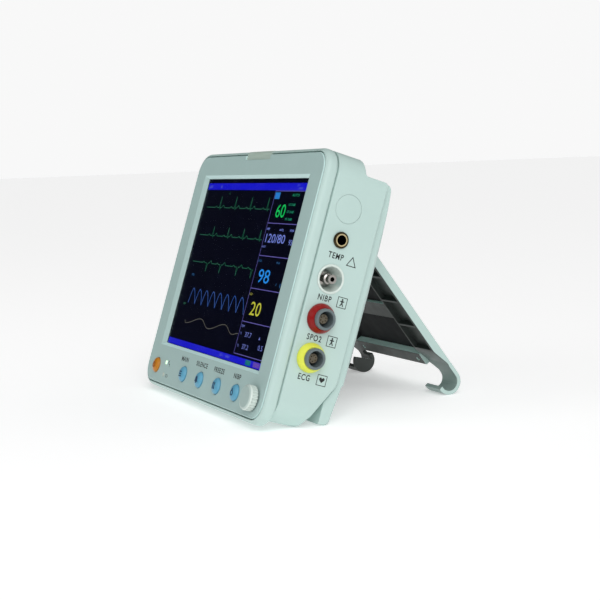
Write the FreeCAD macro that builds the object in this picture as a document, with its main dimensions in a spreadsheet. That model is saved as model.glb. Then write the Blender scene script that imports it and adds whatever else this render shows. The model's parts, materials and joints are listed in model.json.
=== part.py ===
import FreeCAD, Part
import math
import os
import re
import Sketcher
from FreeCAD import Placement, Rotation, Vector

# Tabletop patient monitor on a fold-out easel stand, millimetres.
# The case is drawn upright: x to its right, y from the fascia to the back, z up from its lower edge.
# The stand is drawn hanging folded below its hinge, then swung open.
# At the end the case leans back until its rear legs and the two hooked feet share one floor.

DIMENSIONS = {
    # case shells
    "case_width": 220.0, "case_height": 185.0, "case_corner": 16.0, "wall": 2.6,
    "rim_width": 2.6, "rim_depth": 9.5, "rim_round": 4.5, "rim_back_round": 3.0,
    "ledge_width": 5.6, "ledge_front": 3.1,
    "side_inset": 0.4, "housing_bottom": 4.3, "side_depth": 48.0, "top_depth": 29.0,
    "rear_top": 174.0, "step_run": 1.2, "bottom_depth": 31.5, "chamfer_low_y": 33.0,
    "chamfer_low_z": 11.0, "chamfer_high_y": 47.0, "chamfer_high_z": 36.0, "soft_edge": 1.2,
    # rear cover and its two legs
    "cover_half": 105.5, "cover_front": 44.2, "cover_bottom": 38.0, "cover_top": 173.4, "cover_lip_top": 170.4,
    "back_top_y": 52.5, "back_high_y": 56.3, "back_high_z": 140.0, "back_mid_y": 57.5,
    "back_mid_z": 100.0, "back_low_y": 56.3, "back_low_z": 55.0, "cover_wall": 2.4, "cover_round": 5.0,
    "leg_inner": 82.0, "leg_bottom": 10.2, "leg_front": 35.8, "leg_back": 51.0, "leg_round": 4.0,
    "leg_soft": 1.8,
    # fascia and display
    "fascia_gap": 0.9, "fascia_thick": 3.0, "fascia_corner": 12.5, "fascia_round": 0.7,
    "display_width": 170.4, "display_height": 127.8, "display_z": 98.2, "opening_side": 4.9,
    "opening_high": 2.2, "border_top": 2.4, "bevel_depth": 2.2, "window_front": 2.35, "window_margin": 5.5,
    "module_margin_x": 10.5, "module_margin_z": 9.0, "module_front": 3.1, "module_thick": 6.0,
    # keys, indicators and menu knob along the lower strip
    "key_z": 15.8, "key_radius": 5.7, "key_pitch": 31.6, "first_key_x": -31.8, "power_x": -87.5,
    "key_reach": 2.8, "key_gap": 0.25, "key_flange": 6.9, "key_flange_front": 3.4, "key_back": 4.4,
    "lamp_x": -69.7, "lamp_high_z": 19.9, "lamp_low_z": 10.3, "lamp_radius": 1.5,
    "switch_front": 6.0, "board_front": 8.0, "board_thick": 1.6,
    "knob_x": 92.4, "knob_z": 16.2, "knob_radius": 8.5, "knob_reach": 6.6, "knob_gap": 1.1,
    "shaft_radius": 3.0, "fit_gap": 0.06, "bushing_radius": 3.6, "encoder_back": 14.0,
    # alarm lens on the top edge
    "lens_half": 20.7, "lens_low": 178.1, "lens_front": 0.7, "lens_back": 7.0, "lens_gap": 0.15,
    # sockets on the right wall
    "socket_y": 23.5, "plug_z": 149.7, "temp_z": 129.1, "nibp_z": 103.1, "spo2_z": 77.0,
    "ecg_z": 51.0, "plug_radius": 9.4, "plug_gap": 0.12, "temp_bore": 3.2, "temp_barrel": 4.3,
    "temp_nut": 5.4, "temp_depth": 17.0,
    "cup_radius": 9.8, "cup_barrel": 9.0, "socket_radius": 7.0, "socket_bore": 5.1,
    "socket_reach": 8.0, "collar_radius": 9.8, "collar_reach": 5.2,
    # fold-out stand
    "hinge_y": 63.5, "hinge_z": 140.4, "open_angle": 54.3, "arm_skin": 2.0, "arm_depth": 6.5,
    "arm_inner": 35.0, "arm_outer": 62.0, "far_inner": 61.0, "far_outer": 88.0,
    "arm_start": 6.4, "arm_flare": 103.0, "arm_neck": 117.0,
    "flange": 2.0, "web": 2.4, "foot_thick": 2.8, "foot_reach": 128.9, "foot_radius": 9.5,
    "foot_inner": 42.0, "far_foot_inner": 64.0, "far_foot_outer": 81.0, "far_shin_inner": 73.0, "foot_wall": 2.0,
    "barrel_radius": 5.0, "barrel_margin": 3.2, "pin_radius": 2.0,
    "pin_gap": 0.06, "ear_gap": 0.3, "ear_thick": 3.0, "bracket_front": 53.9, "bracket_back": 58.0,
    "bracket_high": 12.0, "upper_bar_start": 64.0, "upper_bar_end": 77.5, "lower_bar_start": 109.3,
    "lower_bar_end": 120.0, "panel_thick": 0.8, "panel_start": 12.0,
    # rear services and inside
    "inlet_x": 84.0, "inlet_z": 64.0, "inlet_depth": 15.0, "inlet_half_x": 14.5, "inlet_half_z": 11.0,
    "stud_z": 92.0, "stud_radius": 3.0, "stud_reach": 67.0, "battery_half": 27.0,
    "battery_low": 54.0, "battery_high": 122.0, "battery_front": 34.0, "battery_back": 52.0,
    "screw_x": 98.0, "screw_high": 159.0, "screw_low": 49.0, "screw_radius": 1.5,
    "boss_radius": 4.0, "boss_front": 34.0, "head_radius": 2.8, "speaker_x": -45.0, "speaker_z": 68.0,
}

PLANES = {
    "front": ("XZ_Plane", Vector(0, 1, 0), -1),
    "side": ("YZ_Plane", Vector(1, 0, 0), 1),
    "floor": ("XY_Plane", Vector(0, 0, 1), 1),
}
AXIS_TURNS = {
    "x": Rotation(Vector(0, 1, 0), 90),
    "y": Rotation(Vector(1, 0, 0), -90),
    "z": Rotation(),
}
TOUCH = 1e-4

doc = FreeCAD.newDocument("patient_monitor")
sheet = doc.addObject("Spreadsheet::Sheet", "dims")
for row, (alias, size) in enumerate(DIMENSIONS.items(), start=1):
    cell = "A%d" % row
    sheet.set(cell, str(size))
    sheet.setAlias(cell, alias)
doc.recompute()

case_pieces = []
stand_pieces = []


def bound(expression):
    """The expression as another object sees it, with each word read from the sheet."""
    return re.sub(r"[a-z][a-z0-9_]*", r"dims.\g<0>", expression)


def number(expression):
    return float(sheet.evalExpression(expression))


def bind(thing, prop, expression):
    thing.setExpression(prop, bound(expression))


# ---------------------------------------------------------------- shape makers

def sketch_outline(body, plane, points, start):
    """A closed outline whose corners are held by the sheet, start millimetres along its normal."""
    role, _, sign = PLANES[plane]
    sketch = body.newObject("Sketcher::SketchObject", body.Name + "_sketch")
    origin_plane = [part for part in body.Origin.OriginFeatures if part.Role == role][0]
    sketch.AttachmentSupport = [(origin_plane, "")]
    sketch.MapMode = "FlatFace"
    bind(sketch, "AttachmentOffset.Base.z", "%d * (%s)" % (sign, start))
    corners = [Vector(number(across), number(along), 0) for across, along in points]
    for index, corner in enumerate(corners):
        sketch.addGeometry(Part.LineSegment(corner, corners[(index + 1) % len(corners)]))
    for index in range(len(corners)):
        sketch.addConstraint(Sketcher.Constraint("Coincident", index, 2, (index + 1) % len(corners), 1))
    for index, (across, along) in enumerate(points):
        for kind, expression in (("DistanceX", across), ("DistanceY", along)):
            size = number(expression)
            slot = sketch.addConstraint(Sketcher.Constraint(kind, -1, 1, index, 1, size))
            if re.search("[a-z]", expression):
                bind(sketch, "Constraints[%d]" % slot, expression)
    return sketch


def round_edges(body, base, radius, edge_names, name):
    rounding = body.newObject("PartDesign::Fillet", name)
    rounding.Base = (base, edge_names)
    bind(rounding, "Radius", radius)
    doc.recompute()
    return rounding


def corner_edges(shape, plane, corners):
    """Names of the straight edges that run along the prism through the given outline corners."""
    normal = PLANES[plane][1]
    names = []
    for index, edge in enumerate(shape.Edges, start=1):
        first, last = edge.Vertexes[0].Point, edge.Vertexes[-1].Point
        run = last - first
        if run.Length < TOUCH or run.cross(normal).Length > TOUCH:
            continue
        if any((first - corner).cross(normal).Length < TOUCH for corner in corners):
            names.append("Edge%d" % index)
    return names


def face_edges(shape, plane, depth):
    """Names of the edges that lie in the plane at that depth along the prism."""
    normal = PLANES[plane][1]
    return ["Edge%d" % index for index, edge in enumerate(shape.Edges, start=1)
            if abs(edge.BoundBox.Center.dot(normal) - depth) < TOUCH
            and all(abs(vertex.Point.dot(normal) - depth) < TOUCH for vertex in edge.Vertexes)]


def prism(name, plane, points, start, end, corner_rounds=(), face_rounds=()):
    """An outline padded from start to end; corner_rounds are (radius, corner numbers) and
    face_rounds are (radius, the expression of a face's depth)."""
    body = doc.addObject("PartDesign::Body", name)
    sketch = sketch_outline(body, plane, points, start)
    pad = body.newObject("PartDesign::Pad", name + "_pad")
    pad.Profile = sketch
    bind(pad, "Length", "(%s) - (%s)" % (end, start))
    pad.Reversed = PLANES[plane][2] < 0
    doc.recompute()
    tip = pad
    for radius, numbers in corner_rounds:
        corners = []
        for index in numbers:
            across, along = number(points[index][0]), number(points[index][1])
            corners.append({"front": Vector(across, 0, along), "side": Vector(0, across, along),
                            "floor": Vector(across, along, 0)}[plane])
        names = corner_edges(tip.Shape, plane, corners)
        tip = round_edges(body, tip, radius, names, name + "_corners")
    for radius, depth in face_rounds:
        names = face_edges(tip.Shape, plane, number(depth))
        tip = round_edges(body, tip, radius, names, name + "_edges")
    return body


def turned(name, axis, middle, profile):
    """A profile of (radius, distance) revolved about an axis through the point middle."""
    body = doc.addObject("PartDesign::Body", name)
    sketch = sketch_outline(body, "front", profile, "0")
    spin = body.newObject("PartDesign::Revolution", name + "_spin")
    spin.Profile = sketch
    spin.ReferenceAxis = (sketch, ["V_Axis"])
    spin.Angle = 360
    body.Placement = Placement(Vector(*[number(size) for size in middle]), AXIS_TURNS[axis])
    return body


def box(name, low, high):
    block = doc.addObject("Part::Box", name)
    for prop, letter, first, last in zip(("Length", "Width", "Height"), "xyz", low, high):
        bind(block, prop, "(%s) - (%s)" % (last, first))
        bind(block, "Placement.Base." + letter, first)
    return block


def cylinder(name, axis, base, length, radius):
    rod = doc.addObject("Part::Cylinder", name)
    rod.Placement = Placement(Vector(), AXIS_TURNS[axis])
    for letter, expression in zip("xyz", base):
        bind(rod, "Placement.Base." + letter, expression)
    bind(rod, "Height", length)
    bind(rod, "Radius", radius)
    return rod


def join(name, solids):
    fused = doc.addObject("Part::MultiFuse", name)
    fused.Shapes = solids
    fused.Refine = True
    return fused


def cut(name, base, tools):
    result = doc.addObject("Part::Cut", name)
    result.Base = base
    result.Tool = tools[0] if len(tools) == 1 else join(name + "_tools", tools)
    return result


def common(name, first, second):
    result = doc.addObject("Part::Common", name)
    result.Base = first
    result.Tool = second
    return result


def group(name, solids):
    bundle = doc.addObject("Part::Compound", name)
    bundle.Links = solids
    return bundle


def piece(name, thing, pieces=case_pieces):
    """Names a finished sub-part and notes which frame it moves with. A bare primitive is held by
    the sheet where it stands, so it is wrapped before it is moved."""
    if thing.TypeId in ("Part::Box", "Part::Cylinder"):
        thing = group(name + "_set", [thing])
    thing.Label = name
    pieces.append(thing)
    return thing


def rectangle(half_width, low, high):
    return [("-(%s)" % half_width, low), (half_width, low), (half_width, high),
            ("-(%s)" % half_width, high)]


# ---------------------------------------------------------------- case shells

def front_housing():
    """Rounded rim, top, floor and the two side walls with their lower rear chamfer."""
    half = "case_width / 2"
    wall_half = "case_width / 2 - side_inset"
    rim = prism("rim_block", "front", rectangle(half, "0", "case_height"), "0", "rim_depth",
                [("case_corner", (0, 1, 2, 3))], [("rim_round", "0"), ("rim_back_round", "rim_depth")])
    side_points = [
        ("rim_depth", "housing_bottom"), ("bottom_depth", "housing_bottom"),
        ("chamfer_low_y", "chamfer_low_z"), ("chamfer_high_y", "chamfer_high_z"),
        ("side_depth", "chamfer_high_z + 4"), ("side_depth", "rear_top"),
        ("top_depth + step_run", "rear_top"), ("top_depth", "case_height"),
        ("rim_depth", "case_height")]
    sides = prism("side_block", "side", side_points, "-(%s)" % wall_half, wall_half,
                  [("3", (1, 2, 3, 5)), ("2", (6, 7))],
                  [("soft_edge", wall_half), ("soft_edge", "-(%s)" % wall_half)])
    outline = prism("outline_block", "front", rectangle(wall_half, "housing_bottom", "case_height"),
                    "rim_depth - 2", "side_depth + 1", [("case_corner", (0, 1, 2, 3))])
    shell = join("housing_blocks", [rim, common("housing_body", sides, outline)])

    inner_half = "case_width / 2 - side_inset - wall"
    hollow_points = [
        ("rim_depth - 2", "housing_bottom + wall"), ("bottom_depth - 2", "housing_bottom + wall"),
        ("chamfer_low_y - 2.5", "chamfer_low_z + 2"), ("chamfer_high_y - 3", "chamfer_high_z + 1"),
        ("side_depth + 1", "chamfer_high_z + 1"), ("side_depth + 1", "rear_top - wall"),
        ("top_depth", "rear_top - wall"), ("top_depth - 2.5", "case_height - wall"),
        ("rim_depth - 2", "case_height - wall")]
    hollow = prism("hollow_side", "side", hollow_points, "-(%s)" % inner_half, inner_half)
    hollow_outline = prism(
        "hollow_outline", "front",
        rectangle(inner_half, "housing_bottom + wall", "case_height - wall"),
        "rim_depth - 2", "side_depth + 1", [("case_corner - wall", (0, 1, 2, 3))])
    ledge_half = "case_width / 2 - ledge_width"
    window = prism("rim_window", "front", rectangle(
        "case_width / 2 - rim_width", "rim_width", "case_height - rim_width"),
        "-1", "ledge_front", [("case_corner - rim_width", (0, 1, 2, 3))])
    throat = prism("rim_throat", "front", rectangle(
        ledge_half, "ledge_width", "case_height - ledge_width"), "ledge_front - 1", "rim_depth + 1",
        [("case_corner - ledge_width", (0, 1, 2, 3))])
    lens_seat = box("lens_seat", ("-lens_half - lens_gap", "-1", "lens_low - lens_gap"),
                    ("lens_half + lens_gap", "lens_back + lens_gap", "case_height + 1"))
    inner_face = "case_width / 2 - side_inset - wall - 1"
    tools = [common("hollow", hollow, hollow_outline), window, throat, lens_seat]
    for place, radius in (("plug_z", "plug_radius + plug_gap"), ("temp_z", "temp_barrel + 0.1"),
                          ("nibp_z", "cup_barrel + 0.15"), ("spo2_z", "socket_radius + 0.1"),
                          ("ecg_z", "socket_radius + 0.1")):
        tools.append(cylinder("hole_" + place, "x", (inner_face, "socket_y", place), "wall + 3", radius))
    shell = cut("housing_shell", shell, tools)

    bosses = []
    drills = []
    for side in ("-", ""):
        for height in ("screw_low", "screw_high"):
            middle = (side + "screw_x", "boss_front", height)
            bosses.append(cylinder("boss", "y", middle, "cover_front - 0.2 - boss_front",
                                   "boss_radius"))
            low_x, high_x = ("screw_x", inner_half + " + 0.3")
            if side:
                low_x, high_x = "-(%s)" % high_x, "-(%s)" % low_x
            bosses.append(box("boss_web", (low_x, "boss_front", height + " - 1.2"),
                              (high_x, "cover_front - 0.2", height + " + 1.2")))
            drills.append(cylinder("boss_drill", "y", (side + "screw_x", "boss_front + 2", height),
                                   "20", "screw_radius + 0.1"))
    piece("front_housing", cut("housing", join("housing_with_bosses", [shell] + bosses), drills))


def rear_cover():
    """Set-back rear shell, open at the front, with two legs, vents and service openings."""
    profile = [
        ("cover_front", "cover_bottom"), ("back_low_y - 1", "cover_bottom"),
        ("back_low_y", "back_low_z"), ("back_mid_y", "back_mid_z"), ("back_high_y", "back_high_z"),
        ("back_top_y", "cover_top"), ("side_depth + 0.2", "cover_top"),
        ("side_depth + 0.2", "cover_lip_top"), ("cover_front", "cover_lip_top")]
    shell = prism("cover_block", "side", profile, "-cover_half", "cover_half",
                  [("cover_round - 1", (5,))])
    plan = prism("cover_plan", "floor", [
        ("-cover_half", "cover_front - 1"), ("cover_half", "cover_front - 1"),
        ("cover_half", "back_mid_y - 3.5"), ("cover_half - 5", "back_mid_y + 1"),
        ("-cover_half + 5", "back_mid_y + 1"), ("-cover_half", "back_mid_y - 3.5")],
        "leg_bottom - 1", "cover_top + 1", [("2.5", (2, 5)), ("4", (3, 4))])
    legs = []
    leg_profile = [
        ("leg_front", "leg_bottom"), ("leg_back", "leg_bottom"), ("back_low_y", "back_low_z"),
        ("side_depth + 0.4", "back_low_z"), ("side_depth + 0.4", "chamfer_high_z")]
    for side in ("left", "right"):
        low_x, high_x = ("-cover_half", "-leg_inner") if side == "left" else ("leg_inner", "cover_half")
        outer_x = low_x if side == "left" else high_x
        legs.append(prism("leg_" + side, "side", leg_profile, low_x, high_x,
                          [("leg_round", (0, 1))], [("leg_soft", outer_x)]))
    outer = common("cover_outer", join("cover_solid", [shell] + legs), plan)

    inner_half = "cover_half - cover_wall"
    hollow = prism("cover_hollow", "side", [
        ("cover_front - 1", "cover_bottom + cover_wall"),
        ("back_low_y - 1 - cover_wall", "cover_bottom + cover_wall"),
        ("back_low_y - cover_wall", "back_low_z"), ("back_mid_y - cover_wall", "back_mid_z"),
        ("back_high_y - cover_wall", "back_high_z"),
        ("back_top_y - cover_wall", "cover_lip_top - cover_wall"),
        ("cover_front - 1", "cover_lip_top - cover_wall")],
        "-(%s) + 3" % inner_half, inner_half + " - 3")
    bosses = []
    tools = []
    for side in ("-", ""):
        for height in ("screw_low", "screw_high"):
            bosses.append(cylinder("cover_boss", "y", (side + "screw_x", "cover_front", height),
                                   "7", "boss_radius"))
            tools.append(cylinder("cover_drill", "y", (side + "screw_x", "cover_front - 1", height),
                                  "15", "screw_radius + 0.2"))
            tools.append(cylinder("cover_sink", "y", (side + "screw_x", "cover_front + 5", height),
                                  "12", "head_radius + 0.3"))
    shell = join("cover_with_bosses", [cut("cover_shell", outer, [hollow])] + bosses)

    for side in ("left", "right"):
        low_x, high_x = arm_span(side, "-2")
        tools.append(box("bracket_seat", (low_x, "bracket_front", "hinge_z - bracket_high - 0.3"),
                         (high_x, "back_mid_y + 5", "hinge_z + bracket_high + 0.3")))
    tools.append(inlet_box("inlet_hole", "2", "cover_front", "back_mid_y + 5"))
    tools.append(box("battery_hole", ("-battery_half - 1.5", "cover_front", "battery_low - 1.5"),
                     ("battery_half + 1.5", "back_mid_y + 5", "battery_high + 1.5")))
    tools.append(cylinder("stud_hole", "y", ("inlet_x", "cover_front", "stud_z"), "20",
                          "stud_radius + 0.2"))
    for slot in range(6):
        height = "speaker_z + %g" % (4.4 * (slot - 2.5))
        tools.append(box("grille_slot", ("speaker_x - 11", "cover_front + 4", height + " - 0.9"),
                         ("speaker_x + 11", "back_mid_y + 5", height + " + 0.9")))
    for first in (-54, 72):
        for slot in range(7):
            middle = "%g" % (first + 4.2 * slot)
            tools.append(box("vent_slot", (middle + " - 1", "cover_front + 4", "118"),
                             (middle + " + 1", "back_mid_y + 5", "146")))
    piece("rear_cover", cut("cover", shell, tools))


def front_panel():
    """Inset fascia with a bevelled display opening and the holes of the lower strip."""
    half = "case_width / 2 - rim_width - fascia_gap"
    low = "rim_width + fascia_gap"
    high = "case_height - rim_width - fascia_gap"
    slab = prism("fascia_slab", "front", rectangle(half, low, high), "0", "fascia_thick",
                 [("fascia_corner", (0, 1, 2, 3))], [("fascia_round", "0")])
    opening = doc.addObject("PartDesign::Body", "opening")
    sill = "display_z - display_height / 2"
    head = "display_z + display_height / 2"
    wide = rectangle("display_width / 2 + opening_side", sill + " - opening_high",
                     head + " + border_top + opening_high")
    narrow = rectangle("display_width / 2", sill, head + " + border_top")
    front_sketch = sketch_outline(opening, "front", wide, "0")
    back_sketch = sketch_outline(opening, "front", narrow, "bevel_depth")
    loft = opening.newObject("PartDesign::AdditiveLoft", "opening_loft")
    loft.Profile = front_sketch
    loft.Sections = [back_sketch]
    loft.Ruled = True
    throat = box("display_throat", ("-display_width / 2", "bevel_depth - 0.01", sill),
                 ("display_width / 2", "fascia_thick + 1", head + " + border_top"))
    rebate = box("window_rebate",
                 ("-display_width / 2 - window_margin - 0.2", "window_front - 0.05",
                  sill + " - window_margin - 0.2"),
                 ("display_width / 2 + window_margin + 0.2", "fascia_thick + 1",
                  head + " + window_margin + 0.2"))
    tools = [opening, throat, rebate]
    for name, place in key_places():
        tools.append(cylinder(name + "_hole", "y", (place, "-1", "key_z"), "fascia_thick + 2",
                              "key_radius + key_gap"))
    for height in ("lamp_low_z", "lamp_high_z"):
        tools.append(cylinder("lamp_hole", "y", ("lamp_x", "-1", height), "fascia_thick + 2",
                              "lamp_radius + 0.1"))
    tools.append(cylinder("bushing_hole", "y", ("knob_x", "-1", "knob_z"), "fascia_thick + 2",
                          "bushing_radius + 0.1"))
    tools.append(box("lens_notch", ("-lens_half - lens_gap", "-1", "lens_low - lens_gap"),
                     ("lens_half + lens_gap", "fascia_thick + 1", "case_height")))
    piece("front_panel", cut("fascia", slab, tools))


def alarm_lens():
    lens = prism("lens", "side", [
        ("lens_front", "lens_low"), ("lens_back", "lens_low"), ("lens_back", "case_height - 0.1"),
        ("lens_front", "case_height - 0.1")], "-lens_half", "lens_half",
        [("2.6", (3,))], [("0.4", "lens_half"), ("0.4", "-lens_half")])
    piece("alarm_lens", lens)


# ---------------------------------------------------------------- display and boards

def display_stack():
    low = "display_z - display_height / 2"
    high = "display_z + display_height / 2"
    piece("display_window", box("window_sheet", (
        "-display_width / 2 - window_margin", "window_front", low + " - window_margin"), (
        "display_width / 2 + window_margin", "fascia_thick", high + " + window_margin")))
    module_low = ("-display_width / 2 - module_margin_x", "module_front", low + " - module_margin_z")
    module_high = ("display_width / 2 + module_margin_x", "module_front + module_thick",
                   high + " + module_margin_z")
    piece("lcd_panel", box("lcd", module_low, module_high))
    frame = box("bracket_plate", (module_low[0], "module_front + module_thick", module_low[2]),
                (module_high[0], "module_front + module_thick + 1.2", module_high[2]))
    windows = []
    for side in ("-", ""):
        low_x, high_x = ("-76", "-6") if side else ("6", "76")
        windows.append(box("bracket_window", (low_x, "module_front", low + " + 12"),
                           (high_x, "module_front + module_thick + 2", high + " - 12")))
    piece("lcd_bracket", cut("lcd_frame", frame, windows))


def circuit_board(name, low, high, chips):
    """A board with square packages standing on its rear face: (x, z, half size, height)."""
    plate = box(name + "_plate", low, high)
    packages = []
    for index, (across, along, half, tall) in enumerate(chips):
        packages.append(box("%s_chip_%d" % (name, index),
                            ("%g" % (across - half), high[1], "%g" % (along - half)),
                            ("%g" % (across + half), "%s + %g" % (high[1], tall), "%g" % (along + half))))
    piece(name, join(name + "_set", [plate] + packages))


def boards():
    circuit_board("main_board", ("-78", "16", "64"), ("78", "17.6", "158"),
                  [(-30, 120, 12, 2.5), (15, 125, 9, 2), (40, 95, 7, 2), (-50, 85, 8, 6)])
    circuit_board("parameter_board", ("34", "24", "44"), ("84", "25.6", "134"),
                  [(50, 110, 8, 2), (50, 70, 6, 5), (72, 90, 5, 3)])
    circuit_board("power_board", ("-100", "28", "46"), ("-38", "29.6", "112"),
                  [(-90, 98, 6, 9), (-60, 90, 8, 10), (-52, 58, 5, 5)])
    circuit_board("backlight_inverter", ("-60", "11", "30"), ("20", "12.2", "46"),
                  [(-50, 38, 5, 3), (0, 38, 4, 3)])


def battery_and_cover():
    piece("battery_pack", prism("battery", "front", rectangle(
        "battery_half", "battery_low", "battery_high"), "battery_front", "battery_back",
        [("2", (0, 1, 2, 3))], [("0.8", "battery_back")]))
    lid = prism("battery_lid", "front", rectangle(
        "battery_half + 1", "battery_low - 1", "battery_high + 1"), "battery_back + 1",
        "back_mid_y", [("3", (0, 1, 2, 3))], [("1", "back_mid_y")])
    ribs = [box("grip_rib", ("-12", "back_mid_y - 0.5", "battery_low + %g" % (6 + 3 * index)),
                ("12", "back_mid_y + 0.6", "battery_low + %g" % (7.2 + 3 * index))) for index in range(4)]
    sinks = [cylinder("lid_sink", "y", ("0", "back_mid_y - 1.6", height), "3", "3.2")
             for height in ("battery_high - 6",)]
    piece("battery_cover", cut("lid_with_ribs", join("lid_ribs", [lid] + ribs), sinks))
    piece("battery_cover_screw", turned("lid_screw", "y", ("0", "back_mid_y - 1.6", "battery_high - 6"), [
        ("0", "0"), ("2.8", "0"), ("2.8", "0.8"), ("2.2", "1.4"), ("0", "1.4")]))


def air_system():
    piece("nibp_pump", turned("pump", "x", ("-30", "40", "152"), [
        ("0", "0"), ("12", "0"), ("12", "34"), ("9", "36"), ("9", "52"), ("2.2", "52"), ("2.2", "60"),
        ("0", "60")]))
    piece("nibp_valve", join("valve", [
        box("valve_body", ("58", "32", "142"), ("76", "48", "160")),
        cylinder("valve_port", "z", ("67", "40", "134"), "9", "2")]))
    piece("air_tube", join("air_hose", [
        cylinder("hose_drop", "z", ("67", "40", "nibp_z"), "133.6 - nibp_z", "2.6"),
        cylinder("hose_back", "y", ("67", "28", "nibp_z"), "12", "2.6"),
        ball("hose_corner", ("67", "40", "nibp_z"), "2.6")]))


def ball(name, middle, radius):
    sphere = doc.addObject("Part::Sphere", name)
    for letter, expression in zip("xyz", middle):
        bind(sphere, "Placement.Base." + letter, expression)
    bind(sphere, "Radius", radius)
    return sphere


def speaker():
    piece("speaker", turned("speaker_body", "y", ("speaker_x", "cover_front - 9", "speaker_z"), [
        ("0", "0"), ("9", "0"), ("9", "3"), ("13.5", "7"), ("13.5", "9"), ("11", "9"), ("5", "6"),
        ("0", "6")]))


# ---------------------------------------------------------------- keys, lamps and knob

def key_places():
    places = [("power_button", "power_x")]
    for index, name in enumerate(("main_key", "silence_key", "freeze_key", "nibp_key")):
        places.append((name, "first_key_x + %d * key_pitch" % index))
    return places


def keys():
    """Domed keys with a flange behind the fascia, and a small switch behind each."""
    switches = []
    for name, place in key_places():
        key = turned(name + "_body", "y", (place, "0", "key_z"), [
            ("0", "-key_reach"), ("key_radius * 0.36", "-key_reach + 0.16"),
            ("key_radius * 0.68", "-key_reach + 0.62"), ("key_radius * 0.9", "-key_reach + 1.3"),
            ("key_radius", "-key_reach + 2.2"), ("key_radius", "key_flange_front"),
            ("key_flange", "key_flange_front"), ("key_flange", "key_back"), ("0", "key_back")])
        piece(name, key)
        switches.append(box(name + "_switch", (place + " - 3", "switch_front", "key_z - 3"),
                            (place + " + 3", "board_front", "key_z + 3")))
    piece("key_switches", group("switches", switches))
    plate = box("key_plate", ("-case_width / 2 + 12", "board_front", "8.2"),
                ("knob_x - 8", "board_front + board_thick", "24.2"))
    piece("key_board", plate)


def lamps():
    pipes = [cylinder("lamp", "y", ("lamp_x", "-0.3", height), "board_front - 0.2",
                      "lamp_radius") for height in ("lamp_low_z", "lamp_high_z")]
    piece("indicator_light_pipes", group("light_pipes", pipes))


def menu_knob():
    middle = ("knob_x", "0", "knob_z")
    cap = turned("knob_cap", "y", middle, [
        ("0", "-knob_reach"), ("knob_radius - 1.6", "-knob_reach"),
        ("knob_radius - 0.4", "-knob_reach + 0.5"),
        ("knob_radius", "-knob_reach + 1.4"), ("knob_radius", "-knob_gap"), ("6.2", "-knob_gap"),
        ("6.2", "-knob_gap - 1"), ("shaft_radius", "-knob_gap - 1"), ("shaft_radius", "-knob_reach + 2"),
        ("0", "-knob_reach + 2")])
    flutes = []
    for index in range(24):
        turn = math.radians(15 * index)
        flutes.append(cylinder("flute", "y", (
            "knob_x + knob_radius * %.5f" % (math.cos(turn) * 1.035), "-knob_reach + 1.6",
            "knob_z + knob_radius * %.5f" % (math.sin(turn) * 1.035)), "knob_reach", "0.8"))
    piece("menu_knob", cut("knurled_cap", cap, flutes))
    piece("encoder_shaft", turned("shaft", "y", middle, [
        ("0", "-knob_reach + 2"), ("shaft_radius", "-knob_reach + 2"), ("shaft_radius", "encoder_back - 2"),
        ("0", "encoder_back - 2")]))
    bore = "shaft_radius + fit_gap"
    piece("encoder_body", turned("encoder", "y", middle, [
        (bore, "-0.5"), ("bushing_radius", "-0.5"), ("bushing_radius", "fascia_thick + 0.1"),
        ("6.5", "fascia_thick + 0.1"),
        ("6.5", "encoder_back"), ("0", "encoder_back"), ("0", "encoder_back - 1"),
        ("5.6", "encoder_back - 1"), ("5.6", "encoder_back - 6.4"), (bore, "encoder_back - 6.4")]))
    piece("encoder_rotor", turned("rotor", "y", middle, [
        (bore, "encoder_back - 6.1"), ("5.2", "encoder_back - 6.1"), ("5.2", "encoder_back - 3.6"),
        (bore, "encoder_back - 3.6")]))


# ---------------------------------------------------------------- sockets on the right wall

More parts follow.
